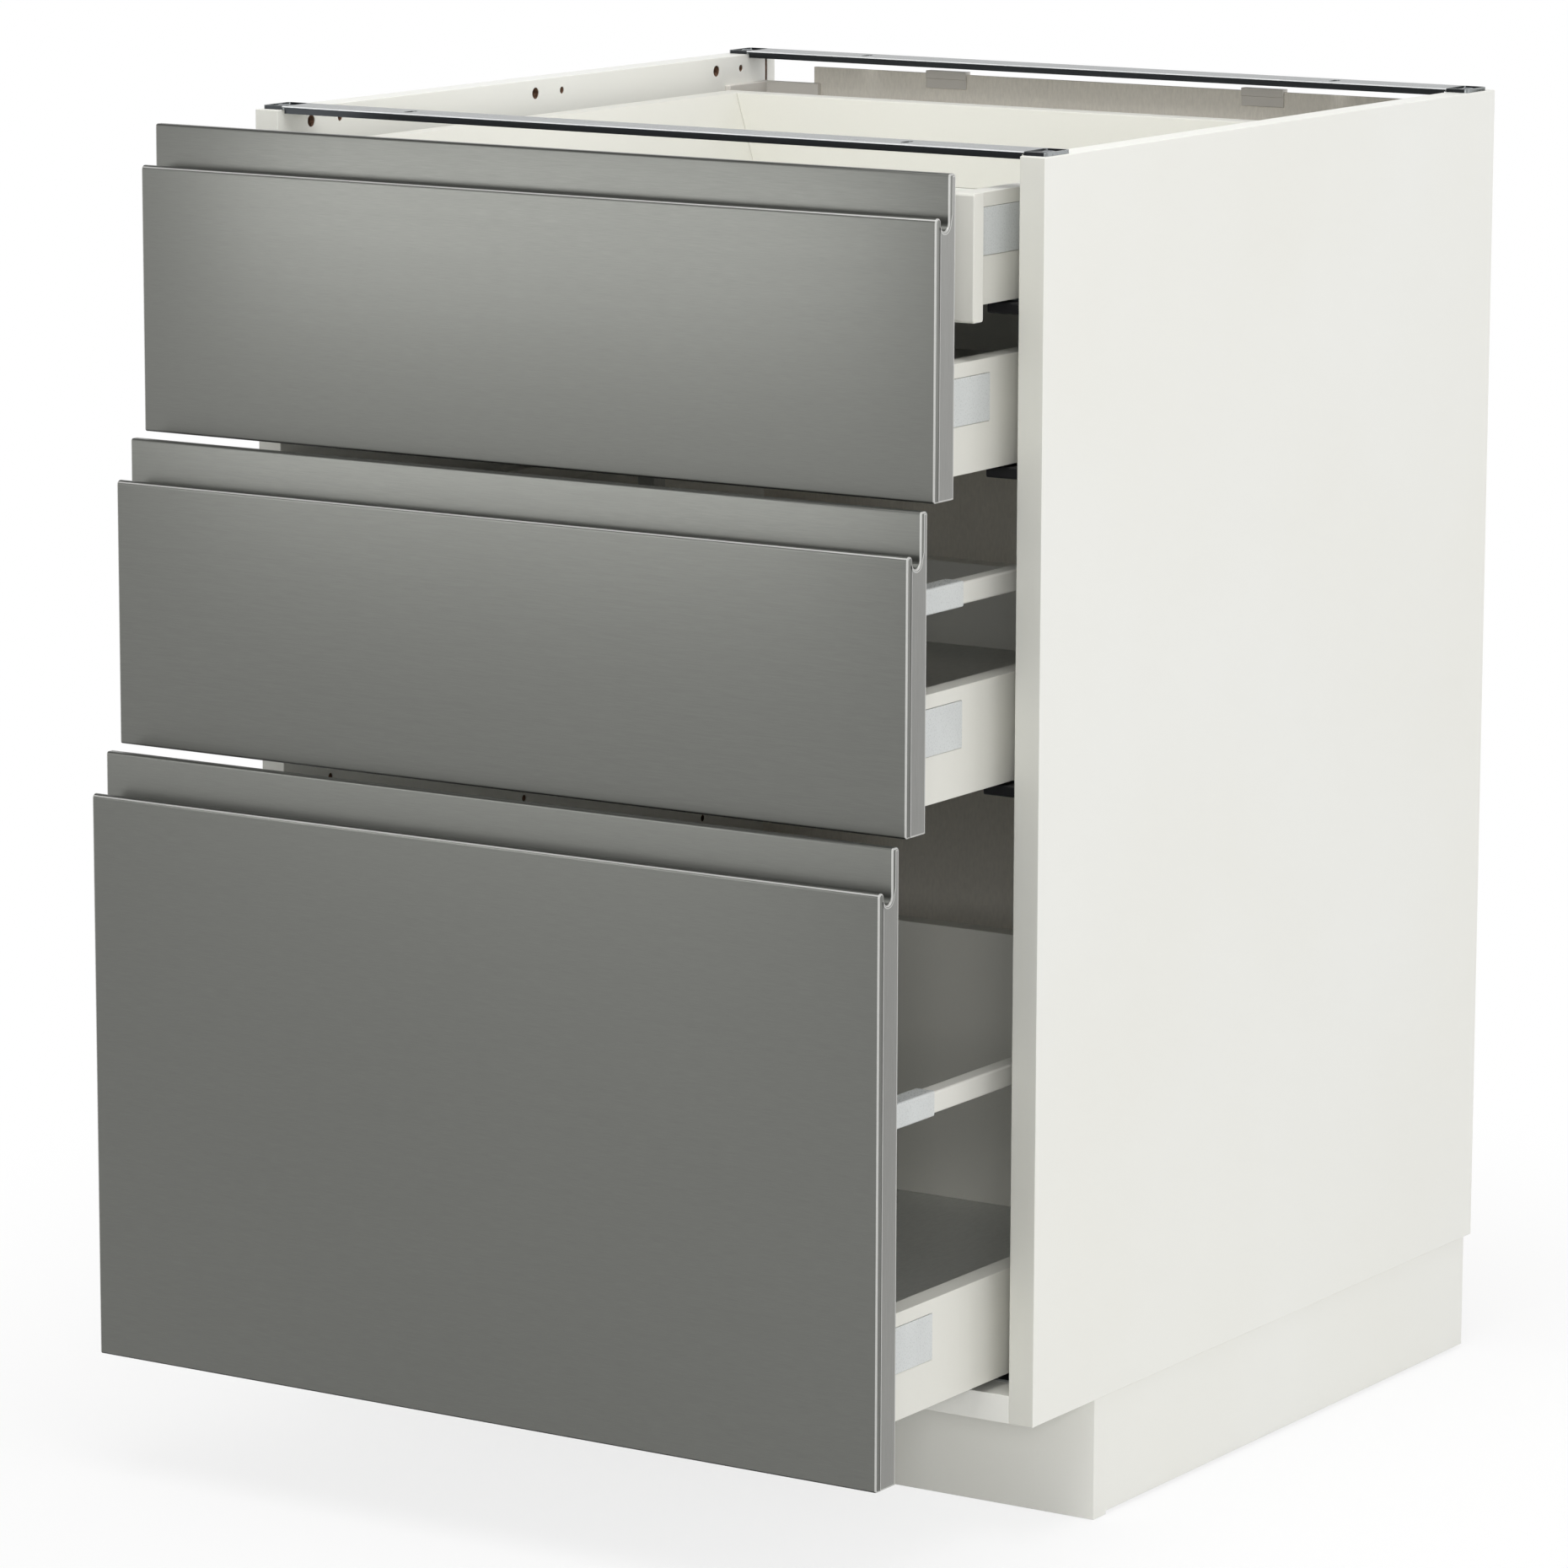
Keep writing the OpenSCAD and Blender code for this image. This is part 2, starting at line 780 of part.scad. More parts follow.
module side_profile() {
    polygon([
        [side_x, 0],
        [side_x, side_h],
        [side_x - side_top_w, side_h],
        [side_x - side_low_w, floor_z],
        [side_x - side_low_w, sheet],
        [side_x - side_low_w - flange_w, sheet],
        [side_x - side_low_w - flange_w, 0],
        [side_x - side_low_w + slope_sheet, 0],
        [side_x - side_low_w + slope_sheet, floor_z],
        [side_x - side_top_w - slope * sheet + slope_sheet, side_h - sheet],
        [side_x - sheet, side_h - sheet],
        [side_x - sheet, 0]
    ]);
}

// The channel inside a drawer side that runs on the middle member
module channel_profile() {
    x = side_x - run_in;
    difference() {
        union() {
            translate([x - chan_half, chan_low])
                square([2 * chan_half, chan_top - chan_low]);
            translate([x, chan_top - sheet])
                square([side_x - x - sheet / 2, sheet]);
        }
        translate([x - chan_half + sheet, chan_low - eps])
            square([2 * (chan_half - sheet), chan_top - sheet - chan_low + eps]);
    }
}

module drawer_side() {
    difference() {
        union() {
            along_y(side_len) side_profile();
            translate([0, chan_start, 0])
                along_y(side_len - chan_start - chan_room) channel_profile();
        }
        translate([side_x - 2 * sheet, cap_start - cap_gap, side_h - cap_drop - cap_h - cap_gap])
            cube([3 * sheet, cap_len + 2 * cap_gap, cap_h + 2 * cap_gap]);
    }
}

module left_side(y, z) {
    color(warm_white) in_place(y, z) mirror([1, 0, 0]) drawer_side();
}

module right_side(y, z) {
    color(warm_white) in_place(y, z) drawer_side();
}

module drawer_base(y, z) {
    reach = side_x - side_low_w;
    color(board_grey) in_place(y, z)
        translate([-reach, 0, sheet]) cube([2 * reach, side_len, board_t]);
}

module drawer_back(y, z, top) {
    low = side_x - side_low_w;
    high = side_x - side_top_w;
    color(warm_white) in_place(y + side_len - drawer_back_t, z)
        along_y(drawer_back_t)
            polygon([
                [-low, floor_z],
                [low, floor_z],
                [high, side_h],
                [high, top],
                [-high, top],
                [-high, side_h]
            ]);
}

module front_plugs(d, deep) {
    for (z = [-plug_pitch / 2, plug_pitch / 2])
        translate([side_x - side_top_w / 2 - sheet, 0, side_h / 2 + z]) y_round(d, -deep, eps);
}

// An angle inside the drawer side with two plugs in the front's back
module front_bracket(deep) {
    foot_w = side_top_w - 2 * sheet;
    low = side_h / 2 - plug_pitch / 2 - plug_d / 2;
    tall = plug_pitch + plug_d;
    translate([side_x - sheet - bracket_t, 0, low]) cube([bracket_t, bracket_len, tall]);
    translate([side_x - sheet - foot_w, 0, low]) cube([foot_w, bracket_t, tall]);
    front_plugs(plug_d - 2 * peg_play, deep - peg_play);
}

module bracket_pair(y, z, deep) {
    color(zinc) in_place(y, z) pair() front_bracket(deep);
}

module cap_pair(y, z) {
    color(cool_white) in_place(y, z)
        pair()
            translate([side_x - sheet, cap_start, side_h - cap_drop - cap_h])
                cube([sheet + cap_proud, cap_len, cap_h]);
}

// Fronts

// Section of a front: Y = 0 is its face, Z = 0 its lower edge
module front_section(h) {
    lip_z = h - lip_drop;
    lip_r = lip_t / 2;
    groove_r = groove_w / 2;
    groove_z = lip_z - groove_deep + groove_r;
    difference() {
        union() {
            rounded_square(front_t, lip_z - lip_r, edge_r);
            translate([0, lip_z - lip_r - 2 * edge_r]) square([front_t, 2 * edge_r]);
            translate([lip_r, lip_z - lip_r]) circle(r = lip_r);
            translate([front_t - back_lip_t, lip_z - lip_r - edge_r])
                square([back_lip_t, lip_drop + lip_r + edge_r - edge_r]);
            translate([front_t - back_lip_t + edge_r, h - edge_r]) circle(r = edge_r);
            translate([front_t - edge_r, h - edge_r]) circle(r = edge_r);
            translate([front_t - back_lip_t + edge_r, h - 2 * edge_r])
                square([back_lip_t - 2 * edge_r, 2 * edge_r]);
        }
        translate([lip_t + groove_r, groove_z]) circle(r = groove_r);
        translate([lip_t, groove_z]) square([groove_w, lip_drop + groove_deep + eps - groove_r + lip_r]);
    }
}

module front_panel(y, z_row, row, z_side, gallery_z = 0) {
    h = row - reveal;
    color(steel_look) in_place(y, z_row + reveal / 2)
        difference() {
            translate([0, -front_t, 0]) {
                along_x(front_w - 2 * band_t) front_section(h);
                along_x(front_w)
                    intersection() {
                        front_section(h);
                        square([wrap, h]);
                    }
            }
            pair()
                translate([0, 0, z_side - z_row - reveal / 2]) {
                    front_plugs(plug_d, plug_deep);
                    if (gallery_z > 0)
                        translate([gal_x, 0, gallery_z]) y_round(gal_peg_d, -gal_peg_deep, eps);
                }
        }
}

module front_bands(y, z_row, row) {
    h = row - reveal;
    color(band_grey) in_place(y - front_t, z_row + reveal / 2)
        pair()
            translate([front_w / 2 - band_t / 2, 0, 0])
                along_x(band_t)
                    difference() {
                        front_section(h);
                        square([wrap, h]);
                    }
}

module plain_inner_front() {
    reach = side_x + inner_front_over;
    color(warm_white) in_place(y_inner, z_inner)
        difference() {
            translate([0, -inner_front_t, -inner_front_low])
                along_x(2 * reach) rounded_square(inner_front_t, inner_front_h, inner_edge_r);
            pair() front_plugs(plug_d, inner_plug_deep);
        }
}

// Gallery rails

module gallery_rail_pair(y, z, gallery_z) {
    rail_run = side_len - post_len - gal_start;
    color(warm_white) in_place(y + gal_start, z)
        pair()
            translate([gal_x - gal_w / 2, 0, gallery_z - gal_h / 2])
                along_y(rail_run) rounded_square(gal_w, gal_h, gal_r);
}

// The sleeve at the front of each gallery rail, and the post at its rear
module gallery_end_pair(y, z, gallery_z) {
    color(cool_white) in_place(y, z)
        pair() {
            translate([gal_x - gal_w / 2 - sleeve_t, 0, gallery_z - gal_h / 2 - sleeve_t])
                difference() {
                    along_y(sleeve_len)
                        rounded_square(gal_w + 2 * sleeve_t, gal_h + 2 * sleeve_t, gal_r);
                    translate([sleeve_t, gal_start, sleeve_t])
                        along_y(sleeve_hold + eps) rounded_square(gal_w, gal_h, gal_r);
                }
            translate([gal_x, 0, gallery_z]) y_round(gal_peg_d - 2 * peg_play, -gal_peg_deep + peg_play, eps);
            translate([side_x - side_top_w, side_len - post_len, side_h])
                cube([side_top_w - sheet, post_len, gallery_z + gal_h / 2 + sleeve_t - side_h]);
        }
}

// Inner drawer

module inner_front() {
    plain_inner_front();
}

module inner_side_left() {
    left_side(y_inner, z_inner);
}

module inner_side_right() {
    right_side(y_inner, z_inner);
}

module inner_base() {
    drawer_base(y_inner, z_inner);
}

module inner_back() {
    drawer_back(y_inner, z_inner, side_h);
}

module inner_brackets() {
    bracket_pair(y_inner, z_inner, inner_plug_deep);
}

module inner_caps() {
    cap_pair(y_inner, z_inner);
}

// Top drawer

module top_front() {
    front_panel(y_top, z_row_top, row_top, z_top);
}

module top_bands() {
    front_bands(y_top, z_row_top, row_top);
}

module top_side_left() {
    left_side(y_top, z_top);
}

module top_side_right() {
    right_side(y_top, z_top);
}

module top_base() {
    drawer_base(y_top, z_top);
}

module top_back() {
    drawer_back(y_top, z_top, side_h);
}

module top_brackets() {
    bracket_pair(y_top, z_top, plug_deep);
}

module top_caps() {
    cap_pair(y_top, z_top);
}

// Middle drawer

module middle_front() {
    front_panel(y_middle, z_row_middle, row_middle, z_middle, gal_z_middle);
}

module middle_bands() {
    front_bands(y_middle, z_row_middle, row_middle);
}

module middle_side_left() {
    left_side(y_middle, z_middle);
}

module middle_side_right() {
    right_side(y_middle, z_middle);
}

module middle_base() {
    drawer_base(y_middle, z_middle);
}

module middle_back() {
    drawer_back(y_middle, z_middle, side_h);
}

module middle_brackets() {
    bracket_pair(y_middle, z_middle, plug_deep);
}

module middle_caps() {
    cap_pair(y_middle, z_middle);
}

module middle_gallery() {
    gallery_rail_pair(y_middle, z_middle, gal_z_middle);
}

module middle_gallery_ends() {
    gallery_end_pair(y_middle, z_middle, gal_z_middle);
}

// Bottom drawer

module bottom_front() {
    front_panel(y_bottom, z_row_bottom, row_bottom, z_bottom, gal_z_bottom);
}

module bottom_bands() {
    front_bands(y_bottom, z_row_bottom, row_bottom);
}

module bottom_side_left() {
    left_side(y_bottom, z_bottom);
}

module bottom_side_right() {
    right_side(y_bottom, z_bottom);
}

module bottom_base() {
    drawer_base(y_bottom, z_bottom);
}

module bottom_back() {
    drawer_back(y_bottom, z_bottom, tall_back_h);
}

module bottom_brackets() {
    bracket_pair(y_bottom, z_bottom, plug_deep);
}

module bottom_caps() {
    cap_pair(y_bottom, z_bottom);
}

module bottom_gallery() {
    gallery_rail_pair(y_bottom, z_bottom, gal_z_bottom);
}

module bottom_gallery_ends() {
    gallery_end_pair(y_bottom, z_bottom, gal_z_bottom);
}

side_left();
side_right();
bottom_panel();
back_panel();
top_rail_front();
top_rail_rear();
rail_screws();
rear_brackets();
back_clips();
cam_fittings();
legs();
leg_feet();
plinth_front();
plinth_left();
plinth_right();
plinth_clips();
runner_rails();
runner_noses();
runner_screws();
inner_front();
inner_side_left();
inner_side_right();
inner_base();
inner_back();
inner_brackets();
inner_caps();
inner_slides();
top_front();
top_bands();
top_side_left();
top_side_right();
top_base();
top_back();
top_brackets();
top_caps();
top_slides();
middle_front();
middle_bands();
middle_side_left();
middle_side_right();
middle_base();
middle_back();
middle_brackets();
middle_caps();
middle_gallery();
middle_gallery_ends();
middle_slides();
bottom_front();
bottom_bands();
bottom_side_left();
bottom_side_right();
bottom_base();
bottom_back();
bottom_brackets();
bottom_caps();
bottom_gallery();
bottom_gallery_ends();
bottom_slides();
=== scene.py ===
"""Drawer base cabinet: finishes, dressed pieces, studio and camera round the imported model."""
import sys
import json
import logging
import math
from collections.abc import Iterator
from contextlib import contextmanager
from dataclasses import dataclass, field
from enum import Enum, IntEnum

import bmesh
import bpy
from mathutils import Matrix, Vector


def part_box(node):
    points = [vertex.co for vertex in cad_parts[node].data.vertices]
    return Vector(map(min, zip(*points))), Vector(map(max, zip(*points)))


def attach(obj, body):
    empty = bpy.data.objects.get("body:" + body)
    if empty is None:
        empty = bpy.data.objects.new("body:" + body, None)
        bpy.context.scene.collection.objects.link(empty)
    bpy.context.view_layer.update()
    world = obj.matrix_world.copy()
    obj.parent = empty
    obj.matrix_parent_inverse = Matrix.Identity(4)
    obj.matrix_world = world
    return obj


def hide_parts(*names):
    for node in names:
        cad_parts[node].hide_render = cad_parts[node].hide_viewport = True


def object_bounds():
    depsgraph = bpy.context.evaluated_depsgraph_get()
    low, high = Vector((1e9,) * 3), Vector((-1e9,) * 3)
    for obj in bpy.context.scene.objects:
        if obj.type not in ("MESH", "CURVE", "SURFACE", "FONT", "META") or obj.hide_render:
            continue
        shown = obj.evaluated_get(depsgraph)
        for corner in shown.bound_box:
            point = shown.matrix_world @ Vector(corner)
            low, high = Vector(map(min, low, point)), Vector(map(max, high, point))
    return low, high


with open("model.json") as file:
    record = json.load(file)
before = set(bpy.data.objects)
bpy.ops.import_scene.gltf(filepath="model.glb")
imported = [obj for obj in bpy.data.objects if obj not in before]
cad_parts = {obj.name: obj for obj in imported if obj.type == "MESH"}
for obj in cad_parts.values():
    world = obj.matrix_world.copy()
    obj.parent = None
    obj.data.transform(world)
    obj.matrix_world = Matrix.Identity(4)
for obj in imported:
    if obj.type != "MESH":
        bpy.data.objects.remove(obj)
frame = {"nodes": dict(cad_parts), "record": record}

logging.basicConfig(level=logging.INFO, format="%(name)s: %(message)s", stream=sys.stdout)
log = logging.getLogger("cabinet")

MM = 0.001
CAD_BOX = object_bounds()
UP = (0.0, 0.0, 1.0)

CAD_WELD = 2e-6
SWEEP_WELD = 1e-6
SLIVER = 5e-6
BORE_FACET = 2e-5
LONG_FOLD = 0.2
LONG_FOLD_DEPTH = 0.0001
FOLD_TURN = 1.0
FACING = 0.9
ROUND_PROFILE = 0.5

FLAT_BELOW = math.radians(0.4)
SOFT_BELOW = math.radians(35)
ROUND_ABOVE = math.radians(40)
SHARP_ABOVE = math.radians(50)
FOIL_END_ABOVE = math.radians(60)

NOISE_CORE = (0.35, 0.65)
NOISE_SPAN = (0.3, 0.7)

Colour = tuple[float, float, float]
Rgba = tuple[float, float, float, float]
Point2 = tuple[float, float]
Point3 = tuple[float, float, float]
Socket = bpy.types.NodeSocket
Inputs = dict[str | int, object]


class Hand(Enum):
    """The side of the cabinet that a piece belongs to."""

    LEFT = -1
    RIGHT = 1


class Brushing(Enum):
    """The direction in which a surface is brushed."""

    ALONG_X = (1.0, 30.0, 30.0)
    ALONG_Z = (30.0, 30.0, 1.0)


class Layer(IntEnum):
    """A piece's material slots: its own finish; the side panels' edge band, and the painted highlight on the
    fronts' and rails' rounded edges; and painted shade and painted dark reflection.
    """

    MAIN = 0
    EDGE = 1
    # painted shade on the fronts' undersides, painted dark reflection on the rails' lips and pockets
    DARK = 2


class Growth(Enum):
    """The Geometry Nodes trees."""

    SWEPT_SECTION = "swept section"
    PLACED_COPIES = "placed copies"
    RING_OF_RIBS = "ring of ribs"


def linear(red: float, green: float, blue: float) -> Rgba:
    """Turns a colour on the 0 to 255 display scale into the renderer's linear values.

    Args:
        red: Red on the display scale.
        green: Green on the display scale.
        blue: Blue on the display scale.

    Returns:
        Linear red, green, blue and an alpha of 1.
    """

    def one(value: float) -> float:
        """Decodes one channel by the sRGB curve."""
        share = value / 255
        return share / 12.92 if share <= 0.04045 else ((share + 0.055) / 1.055) ** 2.4

    return one(red), one(green), one(blue), 1.0


def toned(colour: Rgba, *factors: float) -> Rgba:
    """Makes a linear colour lighter or darker.

    Args:
        colour: The colour.
        *factors: One factor for all channels, or one for each.

    Returns:
        The new colour, with an alpha of 1.
    """
    return tuple(min(1.0, c * f) for c, f in zip(colour[:3], factors * 3)) + (1.0,)


def feed(node: bpy.types.Node, inputs: Inputs) -> None:
    """Links or sets a node's inputs.

    Args:
        node: The node.
        inputs: A socket or a value for each input, by its name or number.
    """
    for key, value in inputs.items():
        if isinstance(value, Socket):
            node.id_data.links.new(value, node.inputs[key])
        else:
            node.inputs[key].default_value = value


def add_node(
    tree: bpy.types.NodeTree, kind: str, inputs: Inputs | None = None, **properties: object
) -> bpy.types.Node:
    """Adds a node to a tree.

    Args:
        tree: The tree.
        kind: The node's type.
        inputs: A socket or a value for each input, by its name or number.
        **properties: The node's own properties.

    Returns:
        The node.
    """
    node = tree.nodes.new(kind)
    for name, value in properties.items():
        setattr(node, name, value)
    feed(node, inputs or {})
    return node


def out_of(tree: bpy.types.NodeTree, kind: str, inputs: Inputs | None = None, **properties: object) -> Socket:
    """Adds a node as add_node does, and returns its first output."""
    return add_node(tree, kind, inputs, **properties).outputs[0]


def worked_out(tree: bpy.types.NodeTree, operation: str, *values: object, **properties: object) -> Socket:
    """Adds a Math node.

    Args:
        tree: The tree.
        operation: The node's operation.
        *values: Its sockets or numbers.
        **properties: The node's other properties.

    Returns:
        The result's socket.
    """
    return out_of(tree, "ShaderNodeMath", dict(enumerate(values)), operation=operation, **properties)


class Shader:
    """A small builder for one material's node tree on Object coordinates."""

    def __init__(self, name: str) -> None:
        """Starts a material with a Principled shader and its output.

        Args:
            name: The material's name.
        """
        self.material = bpy.data.materials.new(name)
        self.material.use_nodes = True
        self.tree = self.material.node_tree
        self.tree.nodes.clear()
        self.principled = add_node(self.tree, "ShaderNodeBsdfPrincipled")
        add_node(self.tree, "ShaderNodeOutputMaterial", {0: self.principled.outputs[0]})
        self.place = add_node(self.tree, "ShaderNodeTexCoord").outputs["Object"]

    def set(self, **values: object) -> None:
        """Links or sets the Principled shader's inputs, with underscores for spaces in their names."""
        feed(self.principled, {name.replace("_", " "): value for name, value in values.items()})

    def math(self, operation: str, *values: object) -> Socket:
        """Adds a Math node and returns its result."""
        return worked_out(self.tree, operation, *values)

    def weigh(self, *parts: tuple[Socket, float]) -> Socket:
        """Adds up values by their weights.

        Args:
            *parts: Each value and its weight.

        Returns:
            The sum.
        """
        total, *others = [self.math("MULTIPLY", value, weight) for value, weight in parts]
        for other in others:
            total = self.math("ADD", total, other)
        return total

    def noise(
        self, scale: float, stretch: Point3 = (1, 1, 1), detail: float = 2.0, rough: float = 0.5
    ) -> Socket:
        """Adds a noise on stretched Object coordinates.

        Args:
            scale: Waves per metre before stretching.
            stretch: Factors on X, Y and Z.
            detail: Octaves.
            rough: How strong the finer octaves are.

        Returns:
            The noise's value.
        """
        place = out_of(self.tree, "ShaderNodeMapping", {"Scale": stretch, "Vector": self.place})
        inputs = {"Scale": scale, "Detail": detail, "Roughness": rough, "Vector": place}
        return add_node(self.tree, "ShaderNodeTexNoise", inputs).outputs["Fac"]

    def ramp(self, value: Socket, low: float, high: float, start: float = 0.0, end: float = 1.0) -> Socket:
        """Maps a value from one range to another, kept inside it.

        Args:
            value: The value to map.
            low: The value that gives start.
            high: The value that gives end.
            start: Result at low.
            end: Result at high.

        Returns:
            The mapped value.
        """
        inputs = {"Value": value, "From Min": low, "From Max": high, "To Min": start, "To Max": end}
        return out_of(self.tree, "ShaderNodeMapRange", inputs)

    def mix(self, share: Socket, first: Rgba | Socket, second: Rgba | Socket) -> Socket:
        """Mixes two colours.

        Args:
            share: How much of the second colour shows.
            first: A colour or a socket.
            second: A colour or a socket.

        Returns:
            The mixed colour.
        """
        node = add_node(self.tree, "ShaderNodeMix", {"Factor": share}, data_type="RGBA")
        places = [i for i, socket in enumerate(node.inputs) if socket.type == "RGBA"]
        feed(node, dict(zip(places, (first, second))))
        return next(socket for socket in node.outputs if socket.type == "RGBA")

    def axis(self, index: int) -> Socket:
        """Returns the Object coordinate on X, Y or Z, whose numbers are 0, 1 and 2."""
        return add_node(self.tree, "ShaderNodeSeparateXYZ", {0: self.place}).outputs[index]

    def coat(
        self, tone: Socket, rough: Socket, height: Socket, depth: float, strength: float
    ) -> bpy.types.Material:
        """Gives the Principled shader its colour, roughness and relief.

        Args:
            tone: The colour.
            rough: The roughness.
            height: The relief's height, from 0 to 1.
            depth: The relief's depth in metres.
            strength: How much of it shows.

        Returns:
            The finished material.
        """
        inputs = {"Strength": strength, "Distance": depth, "Height": height}
        self.set(Base_Color=tone, Roughness=rough, Normal=out_of(self.tree, "ShaderNodeBump", inputs))
        return self.material


@dataclass(frozen=True)
class SteelLookFoil:
    """Steel-look foil or band with a fine brushing."""

    name: str
    colour: Colour
    brushing: Brushing
    rough: float = 0.31
    metallic: float = 0.85
    contrast: float = 0.05
    rough_spread: float = 0.015
    stretched_shine: float = 0.6

    def build(self) -> bpy.types.Material:
        """Builds the foil's material."""
        s = Shader(self.name)
        base = linear(*self.colour)
        brushed = self.brushing.value
        streak = s.weigh(
            (s.noise(75.0, brushed, detail=3.0, rough=0.6), 0.78),
            (s.noise(8.0, brushed), 0.14),
            (s.noise(6.0, detail=1.0), 0.08),
        )
        share = s.ramp(streak, 0.36, 0.64)
        tone = s.mix(share, toned(base, 1 - self.contrast), toned(base, 1 + self.contrast))
        rough = s.ramp(streak, *NOISE_CORE, self.rough + self.rough_spread, self.rough - self.rough_spread)
        axis = "X" if self.brushing is Brushing.ALONG_X else "Z"
        tangent = out_of(s.tree, "ShaderNodeTangent", direction_type="RADIAL", axis=axis)
        s.set(Metallic=self.metallic, Anisotropic=self.stretched_shine, Tangent=tangent)
        return s.coat(tone, rough, streak, depth=0.00003, strength=0.08)


@dataclass(frozen=True)
class Melamine:
    """Satin white melamine on chipboard, with the raw board showing in holes and grooves."""

    name: str
    colour: Colour = (240, 240, 235)
    warmth: Colour = (0.985, 0.98, 0.965)
    raw: Colour = (124, 96, 78)
    raw_dark: float = 0.7
    raw_light: float = 1.25
    inner_x: float = 0.0
    outer_x: float = 0.0
    inner_skin: float = 0.0006
    outer_skin: float = 0.0008
    rim_skin: float = 0.0012

    def build(self) -> bpy.types.Material:
        """Builds the melamine's material."""
        s = Shader(self.name)
        base = linear(*self.colour)
        cloud = s.noise(3.0, detail=3.0, rough=0.55)
        tone = s.mix(s.ramp(cloud, *NOISE_CORE), base, toned(base, *self.warmth))
        if self.outer_x:
            tone = s.mix(self.inside(s), tone, self.chipboard(s))
        rough = s.ramp(cloud, *NOISE_SPAN, 0.38, 0.44)
        return s.coat(tone, rough, s.noise(900.0), depth=0.00003, strength=0.25)

    def chipboard(self, s: Shader) -> Socket:
        """Returns the raw board's mottled colour."""
        dark, light = (linear(*(c * f for c in self.raw)) for f in (self.raw_dark, self.raw_light))
        return s.mix(s.ramp(s.noise(420.0, detail=4.0, rough=0.7), 0.38, 0.62), dark, light)

    def inside(self, s: Shader) -> Socket:
        """Marks the side panels' inside, under the melamine.

        Args:
            s: The material's builder.

        Returns:
            1 inside, 0 at the skin.
        """
        low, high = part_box("side_right")
        reach = s.math("ABSOLUTE", s.axis(0))
        spans = [(reach, self.inner_x + self.inner_skin, self.outer_x - self.outer_skin)]
        spans += [(s.axis(i), low[i] + self.rim_skin, high[i] - self.rim_skin) for i in (1, 2)]
        within = 1.0
        for place, first, last in spans:
            within = s.math("MULTIPLY", within, s.math("GREATER_THAN", place, first))
            within = s.math("MULTIPLY", within, s.math("LESS_THAN", place, last))
        return within


@dataclass(frozen=True)
class PowderCoat:
    """Off-white powder coat on steel, with a very fine grain."""

    name: str
    colour: Colour
    rough: float = 0.42
    rough_spread: float = 0.05
    shade: float = 0.955

    def build(self) -> bpy.types.Material:
        """Builds the powder coat's material."""
        s = Shader(self.name)
        base = linear(*self.colour)
        grain = s.noise(1400.0, detail=3.0, rough=0.6)
        mottle = s.weigh((grain, 0.35), (s.noise(5.0), 0.65))
        tone = s.mix(s.ramp(mottle, *NOISE_CORE), toned(base, self.shade), base)
        rough = s.ramp(grain, *NOISE_SPAN, self.rough - self.rough_spread, self.rough + self.rough_spread)
        return s.coat(tone, rough, grain, depth=0.00004, strength=0.3)


@dataclass(frozen=True)
class BoardFace:
    """Grey board with a fine linen-like fleck."""

    name: str
    colour: Colour
    stretch: Point3 = (1.0, 0.25, 1.0)
    contrast: float = 0.07

    def build(self) -> bpy.types.Material:
        """Builds the board's material."""
        s = Shader(self.name)
        base = linear(*self.colour)
        fleck = s.noise(520.0, self.stretch, detail=3.0, rough=0.65)
        share = s.ramp(s.weigh((fleck, 0.7), (s.noise(4.0), 0.3)), *NOISE_CORE)
        tone = s.mix(share, toned(base, 1 - self.contrast), toned(base, 1 + self.contrast))
        return s.coat(tone, s.ramp(fleck, *NOISE_SPAN, 0.46, 0.56), fleck, depth=0.00004, strength=0.3)


@dataclass(frozen=True)
class SheetSteel:
    """Bare steel: bright rolled, or duller where it is zinc plated."""

    name: str
    colour: Colour
    rough: float
    rolling: Point3 = (1.0, 12.0, 12.0)
    spangle: float = 0.0
    contrast: float = 0.03
    rough_spread: float = 0.01

    def build(self) -> bpy.types.Material:
        """Builds the steel's material."""
        s = Shader(self.name)
        base = linear(*self.colour)
        lines = s.noise(30.0, self.rolling, detail=3.0, rough=0.55)
        value = s.weigh((lines, 1 - self.spangle), (s.noise(26.0, rough=0.6), self.spangle))
        tone = s.mix(s.ramp(value, *NOISE_CORE), toned(base, 1 - self.contrast), base)
        rough = s.ramp(value, *NOISE_CORE, self.rough + self.rough_spread, self.rough - self.rough_spread)
        s.set(Metallic=1.0)
        return s.coat(tone, rough, lines, depth=0.00001, strength=0.03)


@dataclass(frozen=True)
class MouldedPlastic:
    """Moulded plastic with a fine spark-eroded grain."""

    name: str
    colour: Colour
    rough: float = 0.4
    rough_spread: float = 0.06
    shade: float = 0.93

    def build(self) -> bpy.types.Material:
        """Builds the plastic's material."""
        s = Shader(self.name)
        base = linear(*self.colour)
        grain = s.noise(900.0, rough=0.55)
        flow = s.noise(14.0, (1, 3, 1))
        tone = s.mix(s.ramp(flow, *NOISE_CORE), toned(base, self.shade), base)
        rough = s.ramp(grain, *NOISE_SPAN, self.rough - self.rough_spread, self.rough + self.rough_spread)
        return s.coat(tone, rough, grain, depth=0.00005, strength=0.3)


def linked(obj: bpy.types.Object) -> bpy.types.Object:
    """Links an object to the scene and returns it."""
    bpy.context.scene.collection.objects.link(obj)
    return obj


@contextmanager
def edited(mesh: bpy.types.Mesh) -> Iterator[bmesh.types.BMesh]:
    """Opens a mesh for editing and writes it back afterwards.

    Args:
        mesh: The mesh.

    Yields:
        Its working mesh.
    """
    work = bmesh.new()
    work.from_mesh(mesh)
    yield work
    work.to_mesh(mesh)
    work.free()


